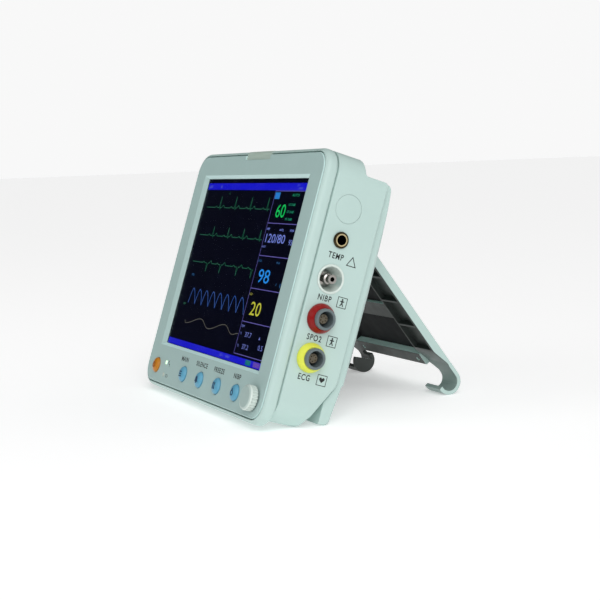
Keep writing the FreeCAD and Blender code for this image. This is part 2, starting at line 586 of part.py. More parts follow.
def sockets():
    face = "case_width / 2 - side_inset"
    inner = face + " - wall"
    piece("blank_plug", turned("plug", "x", ("0", "socket_y", "plug_z"), [
        ("0", inner + " - 1.6"), ("plug_radius + 1.4", inner + " - 1.6"),
        ("plug_radius + 1.4", inner + " - 0.1"), ("plug_radius", inner + " - 0.1"),
        ("plug_radius", face + " - 0.1"), ("0", face + " - 0.1")]))
    piece("temp_jack", turned("temp", "x", ("0", "socket_y", "temp_z"), [
        ("0", face + " - temp_depth"), ("temp_barrel", face + " - temp_depth"), ("temp_barrel", face),
        ("temp_nut", face), ("temp_nut", face + " + 0.9"), ("temp_nut - 0.6", face + " + 1.5"),
        ("temp_bore", face + " + 1.5"), ("temp_bore", face + " - temp_depth + 2"),
        ("0", face + " - temp_depth + 2")]))
    piece("nibp_cup", turned("cup", "x", ("0", "socket_y", "nibp_z"), [
        ("3.1", face + " - 13.6"), ("cup_barrel - 2", face + " - 13.6"), ("cup_barrel", face + " - 4"),
        ("cup_barrel", face), ("cup_radius", face), ("cup_radius - 0.2", face + " + 0.5"),
        ("cup_radius - 0.8", face + " + 0.8"), ("cup_barrel - 0.8", face + " + 0.4"),
        ("cup_barrel - 1.4", face + " - 3"), ("cup_barrel - 3.4", face + " - 12"),
        ("3.1", face + " - 12")]))
    piece("nibp_fitting", turned("fitting", "x", ("0", "socket_y", "nibp_z"), [
        ("1.5", face + " - 24"), ("2.2", face + " - 24"), ("3", face + " - 20"), ("3", face + " - 11.9"),
        ("4.6", face + " - 11.9"), ("4.6", face + " - 9.4"), ("2.7", face + " - 9"),
        ("2.7", face + " - 5.4"), ("3.6", face + " - 5"), ("3.6", face + " - 2.8"),
        ("2.5", face + " - 2.2"), ("2.5", face + " + 0.6"), ("3", face + " + 1"), ("3", face + " + 2.4"),
        ("1.5", face + " + 2.4")]))
    for name, height in (("spo2", "spo2_z"), ("ecg", "ecg_z")):
        middle = ("0", "socket_y", height)
        piece(name + "_collar", turned(name + "_ring", "x", middle, [
            ("socket_radius", face), ("collar_radius", face), ("collar_radius", face + " + 1.2"),
            ("collar_radius - 0.5", face + " + 2.6"), ("collar_radius - 1.4", face + " + 4.1"),
            ("socket_radius + 0.6", face + " + collar_reach"), ("socket_radius", face + " + collar_reach")]))
        piece(name + "_socket", turned(name + "_shell", "x", middle, [
            ("0", face + " - 12"), ("socket_radius - 1", face + " - 12"),
            ("socket_radius - 1", inner + " - 2.4"),
            ("socket_radius + 2", inner + " - 2.4"), ("socket_radius + 2", inner),
            ("socket_radius", inner), ("socket_radius", face + " + socket_reach + side_inset - 0.6"),
            ("socket_radius - 0.5", face + " + socket_reach + side_inset"),
            ("socket_bore + 0.4", face + " + socket_reach + side_inset"),
            ("socket_bore", face + " + socket_reach + side_inset - 0.5"), ("socket_bore", face + " - 4"),
            ("0", face + " - 4")]))
        core = turned(name + "_core", "x", middle, [
            ("0", face + " - 4"), ("3.3", face + " - 4"), ("3.3", face + " + 3.6"), ("3", face + " + 4"),
            ("0", face + " + 4")])
        pin_holes = []
        pins = []
        for index in range(6):
            turn = math.radians(60 * index + 30)
            spot = (face + " - 1", "socket_y + %.5f" % (1.9 * math.cos(turn)),
                    height + " + %.5f" % (1.9 * math.sin(turn)))
            pin_holes.append(cylinder(name + "_pin_hole", "x", spot, "10", "0.45"))
            pins.append(cylinder(name + "_pin", "x", spot, "4.2", "0.4"))
        piece(name + "_contact_insert", cut(name + "_insert", core, pin_holes))
        piece(name + "_contact_pins", group(name + "_pins", pins))


# ---------------------------------------------------------------- rear services

def inlet_box(name, inset, front, back):
    """A block about the middle of the mains inlet, drawn in from its flange all round."""
    return box(name, ("inlet_x - inlet_half_x + " + inset, front, "inlet_z - inlet_half_z + " + inset),
               ("inlet_x + inlet_half_x - " + inset, back, "inlet_z + inlet_half_z - " + inset))


def rear_services():
    shell = inlet_box("inlet_flange", "0", "back_mid_y", "back_mid_y + 1.6")
    body = inlet_box("inlet_body", "2.2", "back_mid_y - inlet_depth", "back_mid_y")
    mouth = inlet_box("inlet_mouth", "4", "back_mid_y - inlet_depth + 2", "back_mid_y + 2")
    piece("mains_inlet", cut("inlet", join("inlet_block", [shell, body]), [mouth]))
    blades = []
    for across, along in ((-6, 1.5), (0, -2), (6, 1.5)):
        low = ("inlet_x + %g" % (across - 1), "back_mid_y - inlet_depth + 2",
               "inlet_z + %g" % (along - 2))
        high = ("inlet_x + %g" % (across + 1), "back_mid_y - 5", "inlet_z + %g" % (along + 2))
        blades.append(box("blade", low, high))
    piece("mains_inlet_blades", group("blades", blades))
    piece("ground_stud", turned("stud", "y", ("inlet_x", "0", "stud_z"), [
        ("0", "cover_front + 2"), ("stud_radius", "cover_front + 2"), ("stud_radius", "back_mid_y"),
        ("stud_radius + 2.5", "back_mid_y"), ("stud_radius + 2.5", "back_mid_y + 1.5"),
        ("stud_radius", "back_mid_y + 1.5"), ("stud_radius", "stud_reach - 1"),
        ("stud_radius - 1", "stud_reach"), ("0", "stud_reach")]))
    screws = []
    for side in ("-", ""):
        for height in ("screw_low", "screw_high"):
            screws.append(turned("case_screw", "y", (side + "screw_x", "0", height), [
                ("0", "boss_front + 3"), ("screw_radius", "boss_front + 3"),
                ("screw_radius", "cover_front + 5"), ("head_radius", "cover_front + 5"),
                ("head_radius", "cover_front + 6.4"), ("head_radius - 0.8", "cover_front + 7"),
                ("1.2", "cover_front + 7"), ("1.2", "cover_front + 6"), ("0", "cover_front + 6")]))
    piece("case_screws", group("screws", screws))


# ---------------------------------------------------------------- stand

def arm_span(side, inset="0"):
    """The x range of one arm, drawn in from both of its edges."""
    low_x, high_x = ("-far_outer", "-far_inner") if side == "left" else ("arm_inner", "arm_outer")
    return low_x + " + (%s)" % inset, high_x + " - (%s)" % inset


def foot_span(side):
    return ("-far_foot_outer", "-far_foot_inner") if side == "left" else ("foot_inner", "arm_outer")


def rod_between(name, low_x, high_x, spot_y, spot_z, radius):
    """A cylinder along x from low_x to high_x."""
    return cylinder(name, "x", (low_x, spot_y, spot_z), "(%s) - (%s)" % (high_x, low_x), radius)


def hinge_hardware():
    pins = []
    for side in ("left", "right"):
        low_x, high_x = arm_span(side)
        barrel_low, barrel_high = arm_span(side, "barrel_margin")
        plate = box("bracket_plate", (low_x + " - 1.8", "bracket_front", "hinge_z - bracket_high"),
                    (high_x + " + 1.8", "bracket_back", "hinge_z + bracket_high"))
        ears = []
        for first, last in ((barrel_low + " - ear_gap - ear_thick", barrel_low + " - ear_gap"),
                            (barrel_high + " + ear_gap", barrel_high + " + ear_gap + ear_thick")):
            ears.append(box("ear_web", (first, "bracket_back - 1", "hinge_z - barrel_radius"),
                            (last, "hinge_y", "hinge_z + barrel_radius")))
            ears.append(rod_between("ear_disc", first, last, "hinge_y", "hinge_z", "barrel_radius"))
        bore = rod_between("ear_bore", low_x + " - 2", high_x + " + 2", "hinge_y", "hinge_z",
                           "pin_radius + pin_gap / 2")
        relief = rod_between("barrel_relief", barrel_low + " - 0.2", barrel_high + " + 0.2",
                             "hinge_y", "hinge_z", "barrel_radius + 0.5")
        piece("hinge_bracket_" + side, cut("bracket_" + side, join("bracket_block", [plate] + ears),
                                           [bore, relief]))
        pins.append(rod_between("pin_" + side, low_x + " + 0.4", high_x + " - 0.4",
                                "hinge_y", "hinge_z", "pin_radius"))
    piece("hinge_pins", group("pins", pins))


def hooked_foot(side, thin, outer):
    """A flat shin curling into a hook; the far foot's curl is closed by a wall at its inner end."""
    foot_low, foot_high = foot_span(side)
    low_x, high_x = arm_span(side)
    shin_high = "-far_shin_inner" if side == "left" else foot_high
    shin = box("shin_" + side, (foot_low, thin, "hinge_z - foot_reach"),
               (shin_high, outer, "hinge_z - arm_neck - 2"))
    gusset = prism("gusset_" + side, "front", [
        (low_x, "hinge_z - arm_neck - 2.5"), (foot_low, "hinge_z - arm_neck - 9"),
        (shin_high, "hinge_z - arm_neck - 9"), (high_x, "hinge_z - arm_neck - 2.5")], thin, outer)
    middle_y = outer + " - foot_radius"
    middle_z = "hinge_z - foot_reach"
    ring = rod_between("ring_" + side, foot_low, foot_high, middle_y, middle_z, "foot_radius")
    hole = rod_between("ring_hole_" + side, foot_low + " - 1", foot_high + " + 1",
                       middle_y, middle_z, "foot_radius - foot_thick")
    upper = box("ring_half_" + side, (foot_low + " - 1", outer + " - 2 * foot_radius - 1", middle_z),
                (foot_high + " + 1", outer + " + 1", middle_z + " + foot_radius + 1"))
    lip = box("lip_" + side, (foot_low, outer + " - 2 * foot_radius", middle_z),
              (foot_high, outer + " - 2 * foot_radius + foot_thick", middle_z + " + 1.2"))
    solids = [shin, gusset, cut("hook_" + side, ring, [hole, upper]), lip]
    if side == "left":
        disc = rod_between("foot_disc", foot_high + " - foot_wall", foot_high, middle_y, middle_z,
                           "foot_radius")
        trim = prism("foot_trim", "side", [
            (middle_y + " - 7.7", middle_z + " + 11.8"), (middle_y + " + 10.8", middle_z + " - 9.2"),
            (middle_y + " + 19.8", middle_z + " - 1.3"), (middle_y + " + 1.3", middle_z + " + 19.8")],
            foot_high + " - foot_wall - 1", foot_high + " + 1")
        solids.append(cut("foot_end_wall", disc, [trim]))
    return solids


def stand_arm(side):
    """Channel arm with cross ribs inside, a barrel at the hinge and a hooked foot."""
    low_x, high_x = arm_span(side)
    outer = "hinge_y + arm_skin"
    inner = "hinge_y + arm_skin - arm_depth"
    thin = "hinge_y + arm_skin - foot_thick"
    arm = prism("arm_" + side, "side", [
        (outer, "hinge_z - arm_start"), (outer, "hinge_z - arm_neck - 3"),
        (thin, "hinge_z - arm_neck - 3"), (thin, "hinge_z - arm_neck"),
        (inner, "hinge_z - arm_flare"), (inner, "hinge_z - arm_start")], low_x, high_x,
        [("6", (3,)), ("12", (4,)), ("1", (5,))], [("0.6", low_x), ("0.6", high_x)])
    barrel_low, barrel_high = arm_span(side, "barrel_margin")
    barrel = rod_between("barrel_" + side, barrel_low, barrel_high, "hinge_y", "hinge_z",
                         "barrel_radius")
    neck = box("neck_" + side, (barrel_low, "hinge_y - 3.5", "hinge_z - arm_start - 2"),
               (barrel_high, outer, "hinge_z"))
    solid = join("arm_solid_" + side, [arm, barrel, neck] + hooked_foot(side, thin, outer))
    cells = []
    for bay in range(4):
        top = "hinge_z - 11 - %g" % (bay * 23.0)
        cells.append(box("bay", (low_x + " + flange", inner + " - 1", top + " - 21.4"),
                         (high_x + " - flange", outer + " - web", top)))
    bore = rod_between("arm_bore_" + side, low_x + " - 1", high_x + " + 1", "hinge_y", "hinge_z",
                       "pin_radius + pin_gap")
    piece("stand_arm_" + side, cut("arm_cut_" + side, solid, cells + [bore]), stand_pieces)


def crossbars():
    outer = "hinge_y + arm_skin"
    piece("stand_upper_crossbar", box(
        "upper_bar", ("-far_inner", outer + " - panel_thick - web", "hinge_z - upper_bar_end"),
        ("arm_inner", outer + " - panel_thick", "hinge_z - upper_bar_start")), stand_pieces)
    lower = prism("lower_bar", "side", [
        (outer + " - arm_depth + 0.4", "hinge_z - lower_bar_end"), (outer, "hinge_z - lower_bar_end"),
        (outer, "hinge_z - lower_bar_start"), (outer + " - arm_depth + 0.4", "hinge_z - lower_bar_start")],
        "-far_inner", "arm_inner", [("1", (0, 1)), ("0.5", (2, 3))])
    sinks = []
    screws = []
    for across in ("-far_inner + 7", "arm_inner - 7"):
        spot = (across, outer + " - arm_depth", "hinge_z - 115")
        sinks.append(cylinder("bar_sink", "y", spot, "2", "1.6"))
        screws.append(turned("bar_screw", "y", (across, "0", "hinge_z - 115"), [
            ("0", outer + " - arm_depth + 1.2"), ("1.5", outer + " - arm_depth + 1.2"),
            ("1.2", outer + " - arm_depth + 1.9"), ("0", outer + " - arm_depth + 1.9")]))
    piece("stand_lower_crossbar", cut("lower_bar_sunk", lower, sinks), stand_pieces)
    piece("stand_bar_screws", group("bar_screws", screws), stand_pieces)
    piece("stand_web_panel", box(
        "web_sheet", ("-far_inner", outer + " - panel_thick", "hinge_z - lower_bar_start"),
        ("arm_inner", outer, "hinge_z - panel_start")), stand_pieces)


# ---------------------------------------------------------------- placing and writing

def rotated(offset_y, offset_z, angle):
    turn = math.radians(angle)
    return (offset_y * math.cos(turn) - offset_z * math.sin(turn),
            offset_y * math.sin(turn) + offset_z * math.cos(turn))


def lean_angle():
    """The lean at which the leg corners and the hook feet touch one floor: both are arcs."""
    foot_y, foot_z = rotated(number("arm_skin - foot_radius"), -number("foot_reach"), number("open_angle"))
    slope = number("(back_low_y - leg_back) / (back_low_z - leg_bottom)")
    corner_y = number("leg_back - leg_round") + number("leg_round") * (
        slope - (math.hypot(1, slope) - 1))
    run = foot_y + number("hinge_y") - corner_y
    rise = foot_z + number("hinge_z") - number("leg_bottom + leg_round")
    spare = number("foot_radius - leg_round")
    return math.degrees(math.atan2(rise, run) - math.asin(spare / math.hypot(run, rise)))


def place_pieces():
    lean = Placement(Vector(), Rotation(Vector(1, 0, 0), -lean_angle()))
    hinge = Vector(0, number("hinge_y"), number("hinge_z"))
    opened = (Placement(hinge, Rotation(Vector(1, 0, 0), number("open_angle")))
              * Placement(-hinge, Rotation()))
    for thing in case_pieces:
        thing.Placement = lean * thing.Placement
    for thing in stand_pieces:
        thing.Placement = lean * opened * thing.Placement
    doc.recompute()
    check_document()
    whole = FreeCAD.BoundBox()
    for thing in case_pieces + stand_pieces:
        whole.add(thing.Shape.optimalBoundingBox(False, False))
    shift = Placement(Vector(-whole.Center.x, -whole.Center.y, -whole.ZMin), Rotation())
    for thing in case_pieces + stand_pieces:
        thing.Placement = shift * thing.Placement
    doc.recompute()
    print("lean %.3f deg, box %.2f x %.2f x %.2f mm" % (
        lean_angle(), whole.XLength, whole.YLength, whole.ZLength))
    hinge_at = shift.multVec(lean.multVec(hinge))
    print("hinge at", [round(size, 3) for size in hinge_at])
    for name, spot in (("case origin", Vector()), ("case up", Vector(0, 0, 100)),
                       ("case back", Vector(0, 100, 0))):
        print(name, [round(size, 4) for size in shift.multVec(lean.multVec(spot))])


def check_document():
    failed = [thing.Label for thing in doc.Objects
              if "Invalid" in thing.State or "Error" in thing.State]
    assert not failed, "failed objects: %s" % failed
    for thing in case_pieces + stand_pieces:
        shape = thing.Shape
        assert not shape.isNull() and shape.isValid(), "bad shape: " + thing.Label
        assert shape.Solids and shape.Volume > 0, "no solid: " + thing.Label


def write_pieces():
    check_document()
    os.makedirs("parts", exist_ok=True)
    for thing in case_pieces + stand_pieces:
        shape = thing.Shape
        shape.exportStep("parts/%s.step" % thing.Label)
        print("%-24s %d solid(s) %10.1f mm3" % (thing.Label, len(shape.Solids), shape.Volume))


front_housing()
rear_cover()
front_panel()
alarm_lens()
display_stack()
boards()
battery_and_cover()
air_system()
speaker()
keys()
lamps()
menu_knob()
sockets()
rear_services()
hinge_hardware()
stand_arm("left")
stand_arm("right")
crossbars()
doc.recompute()
place_pieces()
write_pieces()
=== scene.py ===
import json
import math

import bmesh
import bpy
from mathutils import Matrix, Vector


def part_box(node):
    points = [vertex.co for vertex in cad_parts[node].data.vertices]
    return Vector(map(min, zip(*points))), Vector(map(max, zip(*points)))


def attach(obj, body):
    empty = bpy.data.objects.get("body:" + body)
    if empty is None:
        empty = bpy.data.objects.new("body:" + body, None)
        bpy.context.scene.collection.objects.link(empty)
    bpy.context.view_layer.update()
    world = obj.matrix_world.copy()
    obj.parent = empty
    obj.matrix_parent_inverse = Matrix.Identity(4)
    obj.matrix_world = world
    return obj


# Looks for a tabletop patient monitor on a fold-out stand.
# Artwork is drawn in millimetres in the case's own axes (x right, y to the back, z up, upright case)
# and placed in the row frame by CASE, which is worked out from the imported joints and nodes.

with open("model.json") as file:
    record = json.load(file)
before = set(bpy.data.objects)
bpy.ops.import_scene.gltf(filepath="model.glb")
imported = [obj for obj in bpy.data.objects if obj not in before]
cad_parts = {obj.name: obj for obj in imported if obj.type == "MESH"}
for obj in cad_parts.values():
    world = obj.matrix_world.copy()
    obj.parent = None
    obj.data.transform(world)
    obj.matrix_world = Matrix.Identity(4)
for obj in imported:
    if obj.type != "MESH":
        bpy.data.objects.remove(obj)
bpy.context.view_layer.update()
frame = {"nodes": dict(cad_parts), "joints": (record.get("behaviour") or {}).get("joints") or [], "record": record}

MM = 0.001
SKY_LOW, SKY_HIGH, BACKDROP = 0.015, 0.69, 0.94

# the stand hinge's line in the case's own axes, and faces that artwork lies on
HINGE_BACK, HINGE_UP = 63.5, 140.4
SIDE_FACE = 109.6
FASCIA_FACE = 0.0
KEY_FACE, KEY_Z = -2.8, 15.8
JACK_AXIS = (23.5, 129.1)

# visible picture: lower left corner, size, and the plane it is shown on
PICTURE_LEFT, PICTURE_LOW = -85.2, 34.3
PICTURE_WIDE, PICTURE_HIGH = 170.4, 127.8
PICTURE_BACK = 3.09

# thickness of flat artwork, height of a capital letter as a share of its font size, small lettering
INK = 0.02
CAPITAL_SHARE = 0.73
SMALL_TEXT = 1.7

# the height in metres between the two lamps
LAMP_SPLIT = 0.020

# directions in the row frame: out of the open stand's skin, up along its arms, out of the fascia
STAND_OUTWARD, STAND_ALONG = (0.0, 0.812, 0.583), (0.0, -0.583, 0.812)
CASE_FRONT = (0.0, -0.948, 0.318)

# places in metres where the painted shade inside the stand fades out: across the right arm, up the right
# foot's curl, and across the middle, beyond which the left foot keeps its painted shade
ARM_SHADE_FADE, CURL_SHADE_FADE, LEFT_SHADE_FADE = (0.052, 0.046), (0.010, 0.034), (0.010, 0.0)

# radii of the temperature jack's bright rim, each with the width of its soft edge
RIM_INSIDE, RIM_OUTSIDE = (3.25, 3.35), (4.2, 4.0)


# ---------------------------------------------------------------- the case's axes

def case_matrix():
    joints = {joint["name"]: joint for joint in frame["joints"]}
    right = Vector((1, 0, 0))
    back = Vector(joints["main_key_press"]["axis"]).normalized()
    up = right.cross(back)
    hinge = Vector(joints["stand_hinge"]["pos_m"])
    origin = hinge - back * HINGE_BACK * MM - up * HINGE_UP * MM
    fascia_low, fascia_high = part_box("front_panel")
    origin.x = (fascia_low.x + fascia_high.x) / 2
    columns = Matrix((right * MM, back * MM, up * MM)).transposed().to_4x4()
    columns.translation = origin
    return columns


CASE = case_matrix()


def plane(point, across, along):
    """Local axes for flat artwork in the case's axes: across, along and out of the surface."""
    across, along = Vector(across), Vector(along)
    local = Matrix((across, along, across.cross(along))).transposed().to_4x4()
    local.translation = Vector(point)
    return CASE @ local


def side_plane(x=SIDE_FACE):
    return plane((x, 0, 0), (0, 1, 0), (0, 0, 1))


def front_plane(y=FASCIA_FACE):
    return plane((0, y, 0), (1, 0, 0), (0, 0, 1))


def picture_plane(depth):
    return plane((PICTURE_LEFT, PICTURE_BACK - depth, PICTURE_LOW), (1, 0, 0), (0, 0, 1))


# ---------------------------------------------------------------- procedural finishes

class Finish:
    """One procedural material, with short calls that add nodes and join them."""

    def __init__(self, name):
        self.material = bpy.data.materials.new(name)
        self.material.use_nodes = True
        self.tree = self.material.node_tree
        self.shader = self.tree.nodes["Principled BSDF"]
        self.place = self.add("ShaderNodeTexCoord").outputs["Object"]

    def add(self, kind, **settings):
        node = self.tree.nodes.new(kind)
        for key, value in settings.items():
            setattr(node, key, value)
        return node

    def feed(self, socket, value):
        if isinstance(value, bpy.types.NodeSocket):
            self.tree.links.new(value, socket)
        elif hasattr(value, "__len__") and len(value) == 3 and len(socket.default_value) == 4:
            socket.default_value = (*value, 1.0)
        else:
            socket.default_value = value

    def set(self, **values):
        for key, value in values.items():
            self.feed(self.shader.inputs[key.replace("_", " ")], value)
        return self

    def height(self, axis="Z"):
        """Where the point is along one of the node's own axes, in metres."""
        split = self.add("ShaderNodeSeparateXYZ")
        self.feed(split.inputs[0], self.place)
        return split.outputs[axis]

    def facing(self, way):
        """How nearly the surface looks along way: 1 straight along it, -1 straight against it."""
        look = self.add("ShaderNodeVectorMath", operation="DOT_PRODUCT")
        self.feed(look.inputs[0], self.add("ShaderNodeTexCoord").outputs["Normal"])
        look.inputs[1].default_value = way
        return look.outputs["Value"]

    def noise(self, size, detail=2.0, stretch=(1, 1, 1)):
        """A noise whose features are about size millimetres across."""
        mapping = self.add("ShaderNodeMapping")
        self.feed(mapping.inputs["Vector"], self.place)
        mapping.inputs["Scale"].default_value = stretch
        texture = self.add("ShaderNodeTexNoise")
        self.feed(texture.inputs["Vector"], mapping.outputs["Vector"])
        self.feed(texture.inputs["Scale"], 1 / (size * MM))
        self.feed(texture.inputs["Detail"], detail)
        return texture.outputs["Fac"]

    def spread(self, value, low, high, to_low, to_high):
        node = self.add("ShaderNodeMapRange")
        for key, number in (("Value", value), ("From Min", low), ("From Max", high),
                            ("To Min", to_low), ("To Max", to_high)):
            self.feed(node.inputs[key], number)
        return node.outputs["Result"]

    def calc(self, operation, first, second):
        node = self.add("ShaderNodeMath", operation=operation)
        self.feed(node.inputs[0], first)
        self.feed(node.inputs[1], second)
        return node.outputs[0]

    def tint(self, factor, first, second):
        node = self.add("ShaderNodeMix", data_type="RGBA")
        self.feed(node.inputs["Factor"], factor)
        self.feed(node.inputs["A"], first)
        self.feed(node.inputs["B"], second)
        return [out for out in node.outputs if out.type == "RGBA"][0]

    def edges(self, radius):
        """1 along the edges within radius millimetres, 0 on the flats, and the rounded normal."""
        soft = self.add("ShaderNodeBevel", samples=4)
        self.feed(soft.inputs["Radius"], radius * MM)
        flat = self.add("ShaderNodeNewGeometry")
        match = self.add("ShaderNodeVectorMath", operation="DOT_PRODUCT")
        self.feed(match.inputs[0], soft.outputs["Normal"])
        self.feed(match.inputs[1], flat.outputs["Normal"])
        return self.spread(match.outputs["Value"], 0.97, 0.75, 0.0, 1.0), soft.outputs["Normal"]

    def crevices(self, reach):
        """0 in open places, 1 in grooves and corners narrower than reach millimetres."""
        shade = self.add("ShaderNodeAmbientOcclusion", samples=6)
        self.feed(shade.inputs["Distance"], reach * MM)
        return self.spread(shade.outputs["AO"], 0.35, 0.9, 1.0, 0.0)

    def relief(self, height, depth, normal=None):
        """A bump depth millimetres deep, on top of normal."""
        node = self.add("ShaderNodeBump")
        self.feed(node.inputs["Height"], height)
        self.feed(node.inputs["Distance"], depth * MM)
        if normal is not None:
            self.feed(node.inputs["Normal"], normal)
        return node.outputs["Normal"]


def shaded(colour, amount):
    """The colour times amount, kept under 1."""
    return tuple(min(1.0, part * amount) for part in colour)


def moulded(name, colour, rough=0.42, grain=0.35, depth=0.012, mottle=0.03, edge=0.5, painted_crevice_shade=0.18):
    """Injection-moulded plastic: fine grain, faint flow mottling, edges painted paler as handling wear and as
    painted highlight, and painted shade darkening grooves and corners.
    """
    finish = Finish(name)
    mask, rounded = finish.edges(edge)
    cloud = finish.noise(28.0, 3.0)
    fine = finish.noise(grain, 2.0)
    body = finish.tint(cloud, shaded(colour, 1 - mottle), shaded(colour, 1 + mottle))
    # paler edges: partly handling wear, partly a painted highlight on rounded edges
    worn_and_lit_edges = finish.tint(finish.calc("MULTIPLY", mask, finish.spread(finish.noise(6.0), 0.4, 0.7, 0.1, 0.5)),
                       body, shaded(colour, 1.16))
    # painted shade: grooves and corners found by ambient occlusion are darkened
    shaded_grooves = finish.tint(finish.calc("MULTIPLY", finish.crevices(2.2), painted_crevice_shade), worn_and_lit_edges, shaded(colour, 0.45))
    finish.set(Base_Color=shaded_grooves)
    satin = finish.spread(finish.noise(9.0, 4.0), 0.3, 0.7, rough - 0.05, rough + 0.05)
    finish.set(Roughness=finish.calc("SUBTRACT", satin, finish.calc("MULTIPLY", mask, 0.08)))
    height = finish.calc("ADD", fine, finish.calc("MULTIPLY", finish.noise(3.5, 1.0), 1.6))
    finish.set(Normal=finish.relief(height, depth, rounded), IOR=1.5)
    return finish


def silicone(name, colour, rough=0.34):
    """Translucent silicone key: soft sheen, and painted shade that deepens its colour down its sides."""
    # stronger painted shade in the grooves round the key
    finish = moulded(name, colour, rough, grain=0.5, depth=0.006, mottle=0.05, edge=0.9, painted_crevice_shade=0.35)
    finish.set(Subsurface_Weight=0.12, Subsurface_Radius=(0.9, 1.1, 1.4), Subsurface_Scale=1.2 * MM,
               Sheen_Weight=0.04, Sheen_Roughness=0.5)
    return finish


def metal(name, colour, rough=0.25, grain=0.3, stretch=(1, 1, 1), depth=0.004, tarnish=0.12):
    """Turned or rolled metal: fine directional marks, uneven polish and tarnish, and painted shade in the corners.
    """
    finish = Finish(name)
    marks = finish.noise(grain, 3.0, stretch)
    cloud = finish.noise(4.0, 4.0)
    body = finish.tint(cloud, shaded(colour, 1 - tarnish), shaded(colour, 1 + tarnish / 2))
    # painted shade: corners found by ambient occlusion are darkened
    finish.set(Base_Color=finish.tint(finish.crevices(1.5), body, shaded(colour, 0.5)))
    finish.set(Metallic=1.0)
    finish.set(Roughness=finish.spread(marks, 0.3, 0.7, rough * 0.75, rough * 1.3))
    _, rounded = finish.edges(0.2)
    finish.set(Normal=finish.relief(marks, depth, rounded))
    return finish


def jack_metal(name, nut, rim):
    """Dark plated nut round a bright brass rim, told apart by the distance from the jack's axis."""
    finish = metal(name, nut, 0.16, 0.15, (9, 1, 1), tarnish=0.5)
    base = finish.shader.inputs["Base Color"].links[0].from_socket
    away = finish.add("ShaderNodeVectorMath", operation="SUBTRACT")
    finish.feed(away.inputs[0], finish.place)
    away.inputs[1].default_value = CASE @ Vector((SIDE_FACE, *JACK_AXIS))
    level = finish.add("ShaderNodeVectorMath", operation="MULTIPLY")
    finish.feed(level.inputs[0], away.outputs["Vector"])
    level.inputs[1].default_value = (0.0, 1.0, 1.0)
    distance = finish.add("ShaderNodeVectorMath", operation="LENGTH")
    finish.feed(distance.inputs[0], level.outputs["Vector"])
    within, beyond = (finish.spread(distance.outputs["Value"], start * MM, end * MM, 0.0, 1.0)
                      for start, end in (RIM_OUTSIDE, RIM_INSIDE))
    finish.set(Base_Color=finish.tint(finish.calc("MULTIPLY", within, beyond), base, rim))
    return finish


def glossy(name, colour, rough=0.16):
    """Hard glossy plastic with faint ripple, micro scratches, and edges painted paler as wear and as a painted
    highlight.
    """
    finish = Finish(name)
    mask, rounded = finish.edges(0.35)
    scratches = finish.noise(0.25, 5.0, (1, 9, 1))
    body = finish.tint(finish.noise(7.0, 3.0), shaded(colour, 0.93), shaded(colour, 1.05))
    # paler edges: partly wear, partly a painted highlight
    finish.set(Base_Color=finish.tint(finish.calc("MULTIPLY", mask, 0.25), body, shaded(colour, 1.5)))
    finish.set(Roughness=finish.spread(scratches, 0.35, 0.75, rough, rough + 0.14))
    finish.set(Normal=finish.relief(finish.noise(2.5, 2.0), 0.01, rounded), IOR=1.36, Coat_Weight=0.06,
               Coat_Roughness=0.12)
    return finish


def circuit_board(name):
    """Green solder mask over copper runs, with tinned pads."""
    finish = Finish(name)
    runs = finish.add("ShaderNodeTexBrick", offset=0.5, squash=1.0)
    finish.feed(runs.inputs["Vector"], finish.place)
    finish.feed(runs.inputs["Scale"], 1 / (9 * MM))
    finish.feed(runs.inputs["Mortar Size"], 0.06)
    finish.feed(runs.inputs["Color1"], (0.012, 0.085, 0.03))
    finish.feed(runs.inputs["Color2"], (0.014, 0.1, 0.036))
    finish.feed(runs.inputs["Mortar"], (0.03, 0.2, 0.07))
    pads = finish.add("ShaderNodeTexVoronoi", feature="F1")
    finish.feed(pads.inputs["Vector"], finish.place)
    finish.feed(pads.inputs["Scale"], 1 / (4 * MM))
    pad = finish.spread(pads.outputs["Distance"], 0.16, 0.2, 1.0, 0.0)
    finish.set(Base_Color=finish.tint(pad, runs.outputs["Color"], (0.5, 0.5, 0.46)), Metallic=pad)
    finish.set(Roughness=finish.spread(finish.noise(2.0), 0.3, 0.7, 0.28, 0.45))
    finish.set(Normal=finish.relief(runs.outputs["Fac"], 0.03))
    return finish


def clear_window(name):
    """Clear acrylic over the display, with faint wipe marks."""
    finish = Finish(name)
    smears = finish.noise(14.0, 5.0, (1, 1, 3))
    finish.set(Base_Color=(0.96, 0.98, 0.98), Transmission_Weight=1.0, IOR=1.16)
    finish.set(Roughness=finish.spread(smears, 0.45, 0.75, 0.01, 0.04))
    return finish


def display_glass(name):
    """Unlit liquid crystal: blue-black, with fine columns in its gloss and a faint uneven glow."""
    finish = Finish(name)
    lattice = finish.add("ShaderNodeTexWave", bands_direction="X")
    finish.feed(lattice.inputs["Vector"], finish.place)
    finish.feed(lattice.inputs["Scale"], 1 / (2 * math.pi * 0.27 * MM))
    dark = finish.tint(finish.noise(60.0, 1.0), (0.0008, 0.0009, 0.002), (0.0016, 0.002, 0.004))
    finish.set(Base_Color=dark, Roughness=finish.spread(lattice.outputs["Fac"], 0, 1, 0.14, 0.2), IOR=1.15)
    glow = finish.tint(finish.noise(45.0, 1.0), (0.0, 0.0002, 0.004), (0.0006, 0.001, 0.007))
    finish.set(Emission_Color=glow, Emission_Strength=1.0)
    return finish


def lit(name, colour, strength):
    """A lit part of the picture, with a glow that varies a little up and down the display."""
    finish = Finish(name)
    rows = finish.noise(1.4, 2.0, (1, 1, 3))
    glow = finish.tint(finish.spread(rows, 0.3, 0.7, 0.0, 1.0), shaded(colour, 0.86), colour)
    finish.set(Base_Color=shaded(colour, 0.05), Emission_Color=glow, Emission_Strength=strength,
               Roughness=0.5)
    return finish


def printed(name, colour):
    """Pad-printed ink: matt, a little uneven and thin at its edges."""
    finish = Finish(name)
    patch = finish.noise(0.6, 4.0)
    finish.set(Base_Color=finish.tint(patch, shaded(colour, 0.7), shaded(colour, 1.6)))
    finish.set(Roughness=finish.spread(patch, 0.3, 0.7, 0.45, 0.65))
    return finish


